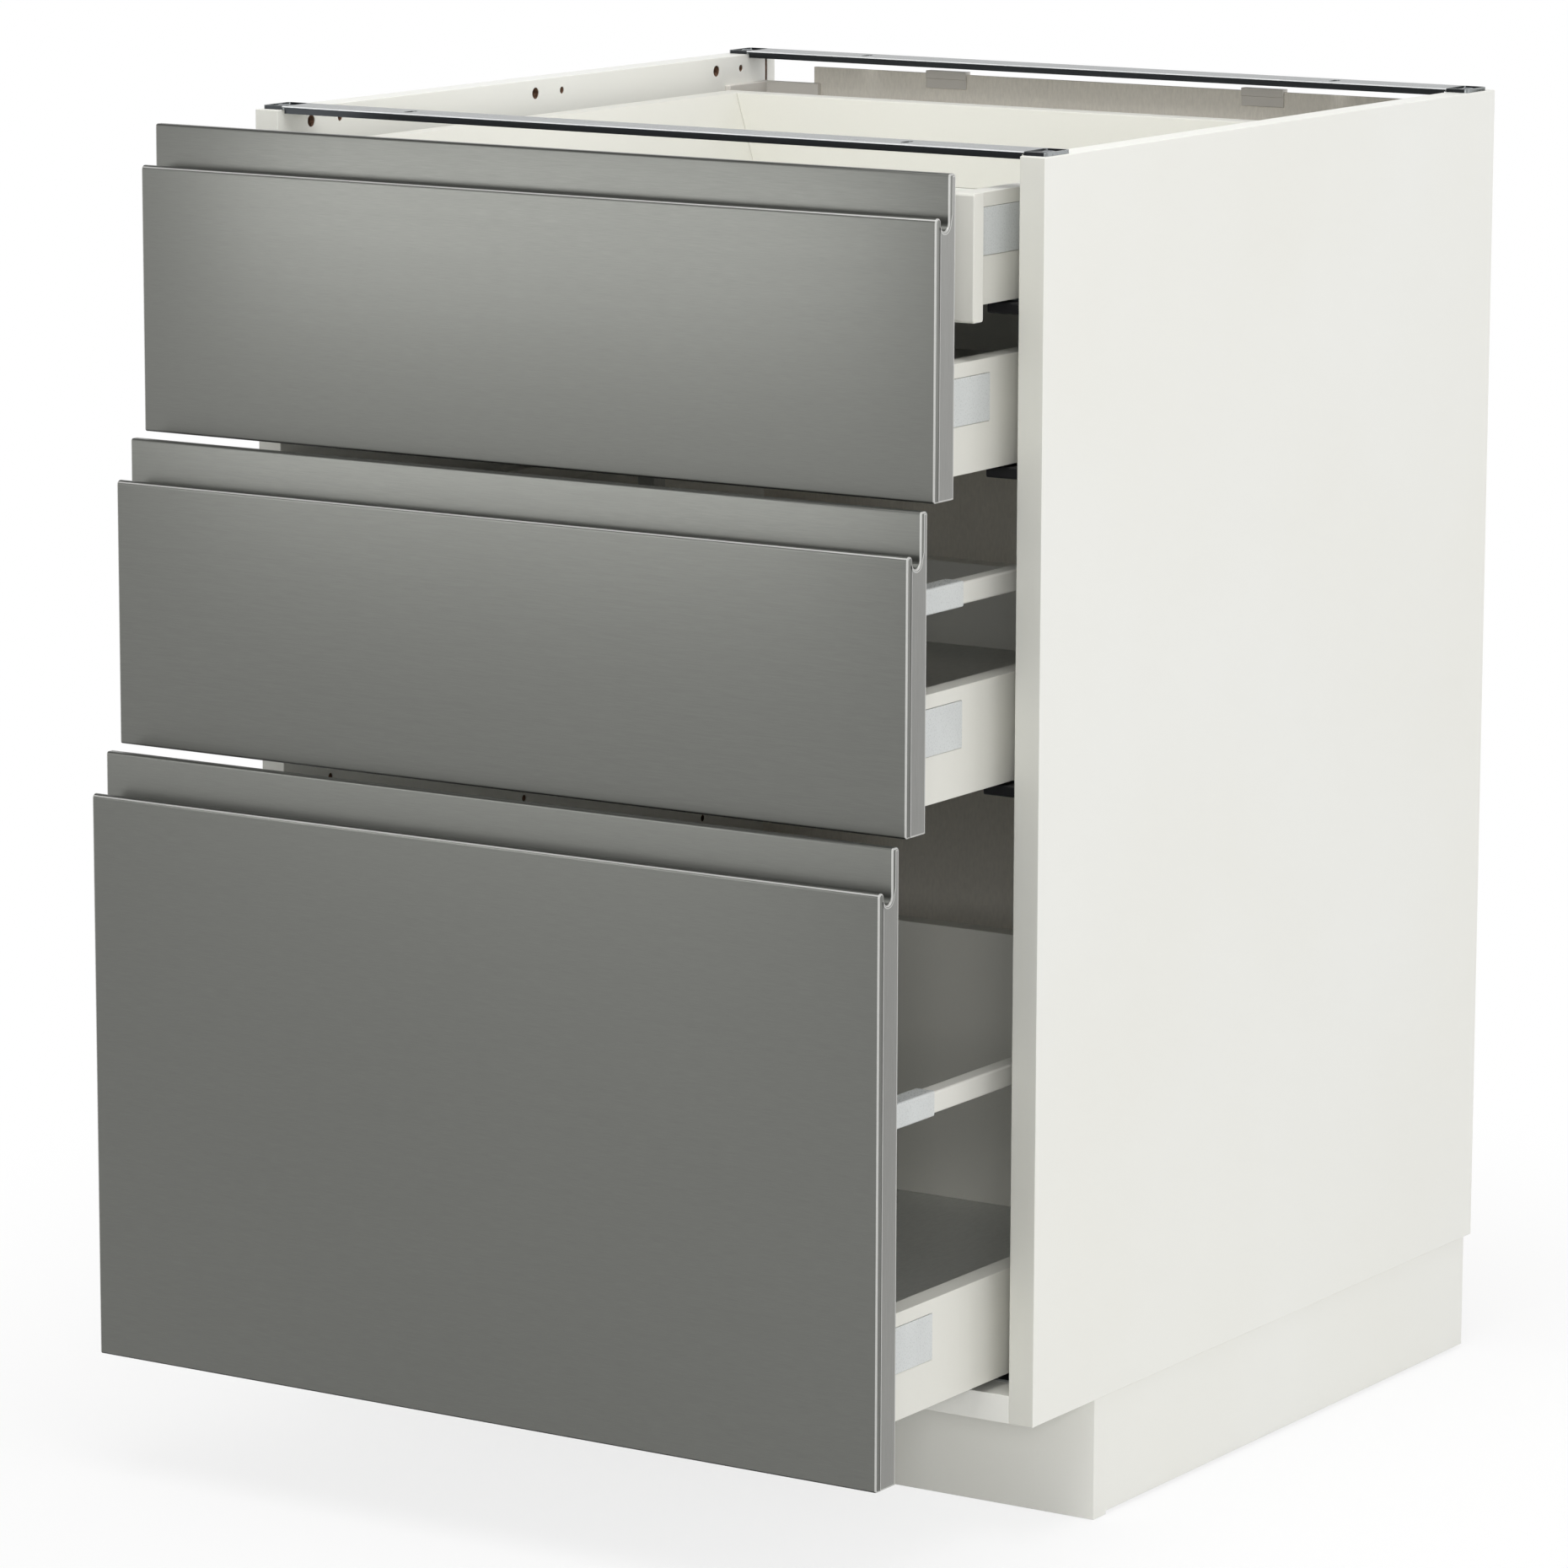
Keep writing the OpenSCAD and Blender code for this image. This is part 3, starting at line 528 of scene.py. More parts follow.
def drop_normals(mesh: bpy.types.Mesh) -> None:
    """Removes the stored normals of a copied mesh, which its new faces no longer match.

    Args:
        mesh: The mesh.
    """
    stored = mesh.attributes.get("custom_normal")
    if stored:
        mesh.attributes.remove(stored)


def mesh_of(name: str, work: bmesh.types.BMesh) -> bpy.types.Mesh:
    """Makes a mesh without stored normals.

    Args:
        name: The mesh's name.
        work: Its working mesh, which is freed.

    Returns:
        The mesh.
    """
    mesh = bpy.data.meshes.new(name)
    work.to_mesh(mesh)
    work.free()
    drop_normals(mesh)
    return mesh


def merged_copy(node: str) -> bmesh.types.BMesh:
    """Copies a CAD node's mesh and merges its doubled points.

    Args:
        node: The node's name.

    Returns:
        The working mesh, to be freed.
    """
    work = bmesh.new()
    work.from_mesh(frame["nodes"][node].data)
    bmesh.ops.remove_doubles(work, verts=work.verts, dist=CAD_WELD)
    return work


def add_block(work: bmesh.types.BMesh, size: Point3, middle: Point3) -> None:
    """Adds a box to a working mesh.

    Args:
        work: The working mesh.
        size: The box's size.
        middle: Its centre.
    """
    made = bmesh.ops.create_cube(work, size=1.0)["verts"]
    bmesh.ops.scale(work, vec=size, verts=made)
    bmesh.ops.translate(work, vec=middle, verts=made)


def round_edges(
    work: bmesh.types.BMesh, edges: list[bmesh.types.BMEdge], width: float, segments: int = 2, **settings: int
) -> None:
    """Rounds edges of a working mesh.

    Args:
        work: The working mesh.
        edges: The edges.
        width: Width of the rounding in metres.
        segments: Faces across the rounding.
        **settings: Other settings of the bevel.
    """
    bmesh.ops.bevel(
        work, geom=edges, offset=width, segments=segments, affect="EDGES", profile=ROUND_PROFILE, **settings
    )


def soften(mesh: bpy.types.Mesh, material: bpy.types.Material) -> None:
    """Gives a mesh one material and soft shading.

    Args:
        mesh: The mesh.
        material: Its material.
    """
    mesh.materials.clear()
    mesh.materials.append(material)
    for face in mesh.polygons:
        face.use_smooth = True
        face.material_index = Layer.MAIN
    mesh.set_sharp_from_angle(angle=SOFT_BELOW)


def bake_modifiers(obj: bpy.types.Object) -> None:
    """Turns an object's modifiers into plain mesh.

    Args:
        obj: The object, whose modifiers are then gone.
    """
    graph = bpy.context.evaluated_depsgraph_get()
    made = bpy.data.meshes.new_from_object(obj.evaluated_get(graph), depsgraph=graph)
    obj.modifiers.clear()
    old = obj.data
    obj.data = made
    made.name = old.name
    bpy.data.meshes.remove(old)


def modify(obj: bpy.types.Object, kind: str, **settings: object) -> None:
    """Runs one modifier on an object and keeps its result as plain mesh.

    Args:
        obj: The object.
        kind: The modifier's type.
        **settings: The modifier's properties.
    """
    modifier = obj.modifiers.new(kind, kind)
    for name, value in settings.items():
        setattr(modifier, name, value)
    bake_modifiers(obj)


def carve(obj: bpy.types.Object, tool: bpy.types.Object, operation: str, **settings: bool) -> None:
    """Runs a Boolean on an object.

    Args:
        obj: The object.
        tool: The other object, which is used up.
        operation: The modifier's operation.
        **settings: The modifier's other properties.
    """
    linked(tool)
    modify(obj, "BOOLEAN", object=tool, operation=operation, solver="EXACT", **settings)
    bpy.data.objects.remove(tool)


def bevel(obj: bpy.types.Object, width: float, segments: int) -> None:
    """Rounds an object's sharp edges in its mesh, with even shading on its flat faces.

    Args:
        obj: The object.
        width: Width of the rounding in metres.
        segments: Faces across the rounding.
    """
    modify(obj, "BEVEL", width=width, segments=segments, limit_method="ANGLE", angle_limit=ROUND_ABOVE)
    join_flat_faces(obj)
    for face in obj.data.polygons:
        face.use_smooth = True
    obj.data.set_sharp_from_angle(angle=SHARP_ABOVE)
    modify(obj, "WEIGHTED_NORMAL", keep_sharp=True)


def join_flat_faces(obj: bpy.types.Object) -> None:
    """Joins the slivers that rounding leaves in flat faces.

    Args:
        obj: The object.
    """
    with edited(obj.data) as work:
        bmesh.ops.dissolve_degenerate(work, dist=SLIVER, edges=work.edges)
        bmesh.ops.dissolve_limit(
            work, angle_limit=FLAT_BELOW, verts=work.verts, edges=work.edges, delimit={"MATERIAL"}
        )


def drilled_board(node: str, width: float, material: bpy.types.Material) -> bpy.types.Object:
    """Copies a board full of holes, with only the board's outer edges rounded.

    Args:
        node: The node's name.
        width: Width of the rounding in metres.
        material: The copy's material.

    Returns:
        The copy.
    """
    mesh = mesh_of(node + "_shape", merged_copy(node))
    obj = linked(bpy.data.objects.new(node + "_shape", mesh))
    soften(mesh, material)
    low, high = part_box(node)
    block = bmesh.new()
    add_block(block, high - low, (low + high) / 2)
    round_edges(block, block.edges[:], width, segments=3)
    carve(obj, helper(node + "_block", block), "INTERSECT")
    obj.data.materials.clear()
    obj.data.materials.append(material)
    drop_normals(obj.data)
    obj.data.set_sharp_from_angle(angle=SHARP_ABOVE)
    for face in obj.data.polygons:
        face.material_index = Layer.MAIN
        face.use_smooth = face.area < BORE_FACET
    return obj


def eased(
    node: str,
    width: float,
    material: bpy.types.Material,
    segments: int = 2,
    fold_highlight: bpy.types.Material | None = None,
) -> bpy.types.Object:
    """Copies a CAD node with its sharp edges rounded.

    Args:
        node: The node's name.
        width: Width of the rounding in metres.
        material: The copy's material.
        segments: Faces across the rounding.
        fold_highlight: The painted highlight material of the roundings along the long top edges, if they have
            one.

    Returns:
        The copy.
    """
    work = merged_copy(node)
    bmesh.ops.dissolve_limit(work, angle_limit=FLAT_BELOW, verts=work.verts, edges=work.edges)
    bmesh.ops.connect_verts_concave(work, faces=work.faces)
    if fold_highlight:
        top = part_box(node)[1].z - LONG_FOLD_DEPTH
        long_edges = [
            e for e in work.edges
            if e.calc_length() > LONG_FOLD
            and e.calc_face_angle(0.0) > FOLD_TURN
            and min(v.co.z for v in e.verts) > top
        ]
        # the long top edges' roundings take the painted highlight
        round_edges(work, long_edges, width, material=Layer.EDGE)
    mesh = mesh_of(node + "_shape", work)
    marks = [face.material_index for face in mesh.polygons]
    obj = linked(bpy.data.objects.new(node + "_shape", mesh))
    soften(mesh, material)
    if fold_highlight:
        mesh.materials.append(fold_highlight)
        mesh.polygons.foreach_set("material_index", marks)
    bevel(obj, width, segments)
    return obj


def body_of(node: str) -> str:
    """Returns the name of the body that a node belongs to."""
    bodies = frame["record"]["behaviour"]["bodies"]
    return next(body for body, nodes in bodies.items() if node in nodes)


def slot_of(node: str) -> str:
    """Returns the record's material slot of a node."""
    return next(s["material_slot"] for s in frame["record"]["subparts"] if s["node"] == node)


def place_piece(obj: bpy.types.Object, body: str, slot: str, *nodes: str) -> None:
    """Lets a piece ride on its body and stand for CAD nodes.

    Args:
        obj: The piece.
        body: The body it rides on.
        slot: The record's material slot; not used.
        *nodes: The CAD nodes it stands for.
    """
    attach(obj, body)
    if nodes:
        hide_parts(*nodes)
    log.info("%s: %d faces on %s", obj.name, len(obj.data.polygons), body)


def stand_in(obj: bpy.types.Object, node: str) -> None:
    """Lets a piece stand for one CAD node, on the node's body."""
    place_piece(obj, body_of(node), slot_of(node), node)


def arc(centre: Point2, radius: float, start: float, end: float, steps: int) -> list[Point2]:
    """Returns points along an arc.

    Args:
        centre: The arc's centre.
        radius: Its radius.
        start: Its first angle in degrees.
        end: Its last angle in degrees.
        steps: The number of chords.

    Returns:
        The points, ends included.
    """
    turn = (math.radians(start + (end - start) * i / steps) for i in range(steps + 1))
    return [(centre[0] + radius * math.cos(a), centre[1] + radius * math.sin(a)) for a in turn]


class Tree:
    """A small builder for one Geometry Nodes tree with named inputs."""

    def __init__(self, growth: Growth, **inputs: str) -> None:
        """Starts a tree with its inputs, a Finish as the last of them, and its one output.

        Args:
            growth: Which tree it is.
            **inputs: Each input's name and the end of its socket type's name.
        """
        self.group = bpy.data.node_groups.new(growth.value, "GeometryNodeTree")
        for label, kind in {**inputs, "Finish": "Material"}.items():
            self.group.interface.new_socket(label, in_out="INPUT", socket_type="NodeSocket" + kind)
        self.group.interface.new_socket("Geometry", in_out="OUTPUT", socket_type="NodeSocketGeometry")
        self.start = add_node(self.group, "NodeGroupInput")

    def __getitem__(self, name: str) -> Socket:
        """Returns one of the tree's inputs."""
        return self.start.outputs[name]

    def add(self, kind: str, inputs: Inputs | None = None, **properties: object) -> Socket:
        """Adds a node and returns its first output."""
        return out_of(self.group, kind, inputs, **properties)

    def shape(self, name: str) -> Socket:
        """Returns the geometry of the object that an input names."""
        inputs = {"Object": self[name]}
        node = add_node(self.group, "GeometryNodeObjectInfo", inputs, transform_space="ORIGINAL")
        return node.outputs["Geometry"]

    def close(self, geometry: Socket) -> None:
        """Realizes the instances, sets the finish and ends the tree.

        Args:
            geometry: What the tree has made.
        """
        real = self.add("GeometryNodeRealizeInstances", {0: geometry})
        painted = self.add("GeometryNodeSetMaterial", {"Geometry": real, "Material": self["Finish"]})
        add_node(self.group, "NodeGroupOutput", {0: painted})


def swept_section_tree() -> None:
    """Builds the tree that sweeps a section of Y and Z along X."""
    t = Tree(Growth.SWEPT_SECTION, Section="Object", Start="Float", Length="Float")
    section = t.shape("Section")
    along = t.add("ShaderNodeCombineXYZ", {"Z": t["Length"]})
    extent = {"Mesh": section, "Offset": along, "Offset Scale": 1.0, "Individual": False}
    swept = t.add("GeometryNodeExtrudeMesh", extent, mode="FACES")
    under = t.add("GeometryNodeFlipFaces", {0: section})
    both = add_node(t.group, "GeometryNodeJoinGeometry", {0: swept})
    feed(both, {0: under})
    merged = t.add("GeometryNodeMergeByDistance", {"Geometry": both.outputs[0], "Distance": SWEEP_WELD})
    place = t.add("ShaderNodeCombineXYZ", {"X": t["Start"]})
    turn = (math.pi / 2, 0.0, math.pi / 2)
    t.close(t.add("GeometryNodeTransform", {"Geometry": merged, "Translation": place, "Rotation": turn}))


def placed_copies_tree() -> None:
    """Builds the tree that puts a copy of a piece at each point, turned to the point's aim."""
    t = Tree(Growth.PLACED_COPIES, Points="Object", Piece="Object")
    aim = t.add("GeometryNodeInputNamedAttribute", {"Name": "aim"}, data_type="FLOAT_VECTOR")
    turn = t.add("FunctionNodeAlignRotationToVector", {"Vector": aim}, axis="Z")
    inputs = {"Points": t.shape("Points"), "Instance": t.shape("Piece"), "Rotation": turn}
    t.close(t.add("GeometryNodeInstanceOnPoints", inputs))


def ring_of_ribs_tree() -> None:
    """Builds the tree that sets a ring of ribs round each point."""
    t = Tree(Growth.RING_OF_RIBS, Points="Object", Rib="Object", Count="Int", Radius="Float")
    ring = t.add("GeometryNodeMeshCircle", {"Vertices": t["Count"], "Radius": t["Radius"]})
    place = t.add("GeometryNodeInputPosition")
    turn = t.add("FunctionNodeAlignRotationToVector", {"Vector": place}, axis="X", pivot_axis="Z")
    inputs = {"Points": ring, "Instance": t.shape("Rib"), "Rotation": turn}
    ribs = t.add("GeometryNodeInstanceOnPoints", inputs)
    t.close(t.add("GeometryNodeInstanceOnPoints", {"Points": t.shape("Points"), "Instance": ribs}))


def grown(name: str, growth: Growth, material: bpy.types.Material, **inputs: object) -> bpy.types.Object:
    """Runs a Geometry Nodes tree once and keeps its result as a plain mesh.

    Args:
        name: The new object's name.
        growth: The tree.
        material: What its Finish input is set to.
        **inputs: Its other inputs by name.

    Returns:
        The new object, with no modifier left on it.
    """
    obj = linked(bpy.data.objects.new(name, bpy.data.meshes.new(name)))
    modifier = obj.modifiers.new("grown", "NODES")
    modifier.node_group = bpy.data.node_groups[growth.value]
    values = {"Finish": material, **inputs}
    for item in modifier.node_group.interface.items_tree:
        if item.in_out == "INPUT":
            modifier[item.identifier] = values[item.name]
    bake_modifiers(obj)
    with edited(obj.data) as work:
        bmesh.ops.recalc_face_normals(work, faces=work.faces)
    obj.data.name = name
    soften(obj.data, material)
    return obj


def helper(name: str, work: bmesh.types.BMesh) -> bpy.types.Object:
    """Makes an object in no collection, for a tree or a Boolean to read.

    Args:
        name: The object's name.
        work: Its working mesh, which is freed.

    Returns:
        The object.
    """
    return bpy.data.objects.new(name, mesh_of(name, work))


def polygon_helper(name: str, points: list[Point2]) -> bpy.types.Object:
    """Makes a helper with one face.

    Args:
        name: The helper's name.
        points: The face's outline.

    Returns:
        The helper, with its face towards +Z.
    """
    work = bmesh.new()
    face = work.faces.new([work.verts.new((a, b, 0.0)) for a, b in points])
    bmesh.ops.recalc_face_normals(work, faces=work.faces)
    if face.normal.z < 0:
        face.normal_flip()
    return helper(name, work)


def aimed_points(name: str, places: list[tuple[Point3, Point3]]) -> bpy.types.Object:
    """Makes a helper with a point and an aim for each place.

    Args:
        name: The helper's name.
        places: Each point and the direction it faces.

    Returns:
        The helper.
    """
    mesh = bpy.data.meshes.new(name)
    mesh.from_pydata([place for place, _ in places], [], [])
    aims = mesh.attributes.new("aim", "FLOAT_VECTOR", "POINT")
    for item, (_, aim) in zip(aims.data, places):
        item.vector = aim
    return bpy.data.objects.new(name, mesh)


def islands(node: str) -> list[tuple[Vector, Vector]]:
    """Finds the boxes of a CAD node's separate solids.

    Args:
        node: The node's name.

    Returns:
        The lowest and highest corner of each solid.
    """
    work = merged_copy(node)
    found, seen = [], set()
    for start in work.verts:
        if start in seen:
            continue
        group, queue = [], [start]
        seen.add(start)
        while queue:
            vert = queue.pop()
            group.append(vert.co.copy())
            for edge in vert.link_edges:
                other = edge.other_vert(vert)
                if other not in seen:
                    seen.add(other)
                    queue.append(other)
        low, high = (Vector([end(p[i] for p in group) for i in range(3)]) for end in (min, max))
        found.append((low, high))
    work.free()
    return found


def join(name: str, parts: list[bpy.types.Object]) -> bpy.types.Object:
    """Joins meshes into one object and keeps their materials.

    Args:
        name: The joined object's name.
        parts: The objects, which are used up.

    Returns:
        The joined object.
    """
    with bpy.context.temp_override(active_object=parts[0], selected_editable_objects=parts):
        bpy.ops.object.join()
    parts[0].name = name
    parts[0].data.name = name
    return parts[0]


@dataclass
class Finishes:
    """Every finish of the cabinet, made once."""

    made: dict[str, bpy.types.Material] = field(default_factory=dict)

    def __post_init__(self) -> None:
        """Builds the finishes, those of the record under its slot names."""
        panel_low, panel_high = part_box("side_right")
        along_x, along_z = Brushing.ALONG_X, Brushing.ALONG_Z
        kinds = (
            Melamine("white_melamine", inner_x=panel_low.x, outer_x=panel_high.x),
            Melamine("plain_melamine"),
            Melamine("edge_band", (219, 219, 212)),
            BoardFace("grey_board", (240, 235, 224), stretch=(1.0, 1.0, 0.3)),
            BoardFace("drawer_board", (222, 223, 218)),
            SteelLookFoil("steel_look_board", (110, 111, 107), along_x),
            # painted highlight: a light foil for the fronts' rounded ends, crest and band borders, where
            # glints of light fall
            SteelLookFoil("foil_edge", (188, 188, 185), along_x, rough=0.4, metallic=0.3, contrast=0.03),
            # painted shade: a near-black foil for the fronts' undersides, where shadow falls
            SteelLookFoil("dark_edge", (44, 44, 42), along_x, rough=0.45, metallic=0.3),
            # painted highlight: a near-white finish for the rails' fold lines, light from any angle
            SteelLookFoil("bright_fold", (236, 238, 239), along_x, rough=0.35, metallic=0.15, contrast=0.02),
            SteelLookFoil("grey_band", (141, 141, 138), along_z),
            PowderCoat("white_board", (228, 227, 219), rough=0.4),
            PowderCoat("white_steel", (230, 229, 221)),
            PowderCoat("white_aluminium", (232, 231, 224), rough=0.36),
            SheetSteel("bright_steel", (140, 144, 145), rough=0.28),
            # painted dark reflection and shade: near-black steel for the rails' lips and recessed pockets
            SheetSteel("dark_pocket", (46, 48, 50), rough=0.3),
            SheetSteel(
                "zinc_steel", (186, 190, 193), rough=0.34, rolling=(1.0, 6.0, 6.0), spangle=0.6, contrast=0.07
            ),
            MouldedPlastic("black_plastic", (30, 30, 32)),
            MouldedPlastic("pale_plastic", (222, 218, 211), rough=0.42),
            MouldedPlastic("cool_plastic", (214, 217, 216), rough=0.3),
        )
        for kind in kinds:
            self.made[kind.name] = kind.build()

    def __getitem__(self, name: str) -> bpy.types.Material:
        """Returns a finish by its name."""
        return self.made[name]


@dataclass
class Easing:
    """Pieces that keep their CAD shape, with edges eased as pressed, moulded or banded edges are."""

    finishes: Finishes
    widths: dict[str, float]
    drilled: tuple[str, ...] = ("side_left", "side_right", "bottom_panel")
    plain: tuple[str, ...] = ("plinth", "bottom_panel")

    def build(self) -> None:
        """Makes an eased copy of each node."""
        for node, width in self.widths.items():
            finish = self.finishes["plain_melamine" if node.startswith(self.plain) else slot_of(node)]
            if node in self.drilled:
                obj = drilled_board(node, width * MM, finish)
            else:
                obj = eased(node, width * MM, finish, segments=3)
            if node in ("side_left", "side_right"):
                self.band_front_edge(obj, node)
            stand_in(obj, node)

    def band_front_edge(self, obj: bpy.types.Object, node: str) -> None:
        """Gives a side panel's front edge its own band.

        Args:
            obj: The panel's copy.
            node: The panel's node.
        """
        obj.data.materials.append(self.finishes["edge_band"])
        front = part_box(node)[0].y
        for face in obj.data.polygons:
            if face.normal.y < -FACING and face.center.y < front + MM:
                face.material_index = Layer.EDGE


@dataclass
class FrontRow:
    """One steel-look front with its two end bands. Sizes are in millimetres."""

    finishes: Finishes
    row: str
    lip_drop: float = 25.4
    lip_t: float = 5.8
    groove_deep: float = 8.5
    back_lip_t: float = 6.8
    edge_r: float = 1.6
    wrap: float = 4.7
    proud: float = 0.2
    bite: float = 0.05
    outline: float = 1.0
    border: float = 0.8
    groove_rim: float = 1.3
    lip_rim: float = 2.9
    rear_rim: float = 0.5
    steps: int = 10
    # normal turns that bound the painted shade underneath and the painted highlight on the crest
    end_turn: float = 0.5
    under_turn: float = -0.4
    crest_turns: tuple[float, float] = (0.1, 0.75)

    @property
    def node(self) -> str:
        """The CAD node of the front."""
        return self.row + "_front"

    def section(self, name: str, band: bool) -> bpy.types.Object:
        """Draws the front's section, or the smaller one of its end band.

        Args:
            name: The helper's name.
            band: Whether the section is the end band's, which stops short of the foil's wrapped rims.

        Returns:
            A helper with the section's Y and Z.
        """
        low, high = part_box(self.node)
        t, h = (high.y - low.y) / MM, (high.z - low.z) / MM
        r, lip_r, groove_r = self.edge_r, self.lip_t / 2, (t - self.lip_t - self.back_lip_t) / 2
        lip_z = h - self.lip_drop
        groove = (self.lip_t + groove_r, lip_z - self.groove_deep + groove_r)
        lip = t - self.back_lip_t
        few, many = self.steps // 2, self.steps * 2
        if band:
            rear, top, wide = t - self.rear_rim, h - self.groove_rim, groove_r + self.groove_rim
            stop = math.degrees(math.acos((self.wrap - groove[0]) / wide))
            points = [(self.wrap, self.rear_rim), (rear, self.rear_rim), (rear, top)]
            points += [(lip + self.lip_rim, top), (lip + self.lip_rim, groove[1] + groove_r)]
            points += arc(groove, wide, 0, -stop, many)
        else:
            points = arc((t - r, r), r, 270, 360, few)
            points += arc((t - r, h - r), r, 0, 90, few)
            points += arc((lip + r, h - r), r, 90, 180, few)
            points += arc(groove, groove_r, 0, -180, many)
            points += arc((lip_r, lip_z - lip_r), lip_r, 0, 180, many)
            points += arc((r, r), r, 180, 270, few)
        return polygon_helper(name, [(low.y + y * MM, low.z + z * MM) for y, z in points])

    def sweep(
        self, name: str, finish: str, section: bpy.types.Object, start: float, length: float
    ) -> bpy.types.Object:
        """Sweeps a section along X, with the painted highlight foil as its second material.

        Args:
            name: The new object's name.
            finish: Its first finish.
            section: The section.
            start: X of its first end, in metres.
            length: Its length, in metres.

        Returns:
            The new object.
        """
        material = self.finishes[finish]
        obj = grown(name, Growth.SWEPT_SECTION, material, Section=section, Start=start, Length=length)
        obj.data.materials.append(self.finishes["foil_edge"])
        return obj

    def build(self) -> None:
        """Makes the front and its bands."""
        low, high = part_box(self.node)
        body = body_of(self.node)
        start = low.x + self.proud * MM
        section = self.section(self.row + "_section", band=False)
        front = self.sweep(self.row + "_front_foil", "steel_look_board", section, start, -2 * start)
        # the rounded foil ends take the painted highlight material as a light outline
        modify(
            front, "BEVEL", width=self.outline * MM, segments=3, limit_method="ANGLE",
            angle_limit=FOIL_END_ABOVE, material=Layer.EDGE,
        )
        front.data.set_sharp_from_angle(angle=SHARP_ABOVE)
        self.paint_highlight_and_shade(front)
        place_piece(front, body, "steel_look_board", self.node)
        parts = []
        section = self.section(self.row + "_band_section", band=True)
        length = (self.proud + self.bite) * MM
        for hand in Hand:
            edge = hand.value * high.x
            band = self.sweep("band", "grey_band", section, min(edge, edge - hand.value * length), length)
            self.trim(band, hand)
            parts.append(band)
        bands = join(self.row + "_end_bands", parts)
        place_piece(bands, body, "grey_band", self.row + "_bands")

    def paint_highlight_and_shade(self, front: bpy.types.Object) -> None:
        """Paints a highlight along the front's crest and shade on its underside.

        Args:
            front: The front's mesh object.
        """
        front.data.materials.append(self.finishes["dark_edge"])
        low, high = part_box(self.node)
        crest = high.z - self.lip_drop * MM
        reach = self.edge_r * MM
        first, last = self.crest_turns
        for face in front.data.polygons:
            middle, up = face.center, face.normal.z
            if face.normal.y > 0 or abs(face.normal.x) > self.end_turn:
                continue
            on_lip = abs(middle.z - crest) < reach and middle.y < low.y + self.lip_t * MM
            # painted shade on the underside's rounding
            if middle.z < low.z + reach and up < self.under_turn:
                face.material_index = Layer.DARK
            # painted highlight on the crest's rounding
            elif on_lip and first < up < last:
                face.material_index = Layer.EDGE

    def trim(self, band: bpy.types.Object, hand: Hand) -> None:
        """Paints a light highlight border on a band where the foil ends.

        Args:
            band: The band.
            hand: The end of the front that it is on.
        """
        with edited(band.data) as work:
            end = max(work.faces, key=lambda f: f.calc_area() * (f.normal.x * hand.value > FACING))
            width = self.border * MM
            border = bmesh.ops.inset_region(work, faces=[end], thickness=width, use_even_offset=True)["faces"]
            # the inset border takes the painted highlight
            for face in border:
                face.material_index = Layer.EDGE


@dataclass
class TopRails:
    """The two rails across the top, with a painted highlight on each fold and painted dark reflection and
    shade on the lips and in the pockets. Sizes are in millimetres.
    """

    finishes: Finishes
    fold: float = 0.7
    pocket_drop: float = 0.7
    tray_reach: float = 4.0
    lip_turn: float = 0.95

    def build(self) -> None:
        """Makes both rails."""
        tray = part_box("side_right")[0].x - self.tray_reach * MM
        bright, fold_highlight = self.finishes["bright_steel"], self.finishes["bright_fold"]
        for node in ("top_rail_front", "top_rail_rear"):
            rail = eased(node, self.fold * MM, bright, fold_highlight=fold_highlight)
            rail.data.materials.append(self.finishes["dark_pocket"])
            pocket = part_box(node)[1].z - self.pocket_drop * MM
            # lips and pocket floors get the painted dark reflection and shade
            for face in rail.data.polygons:
                sunk = face.center.z < pocket and face.normal.z > self.lip_turn
                lip = abs(face.normal.y) > self.lip_turn and face.material_index == Layer.MAIN
                if lip or sunk and abs(face.center.x) > tray:
                    face.material_index = Layer.DARK
            stand_in(rail, node)


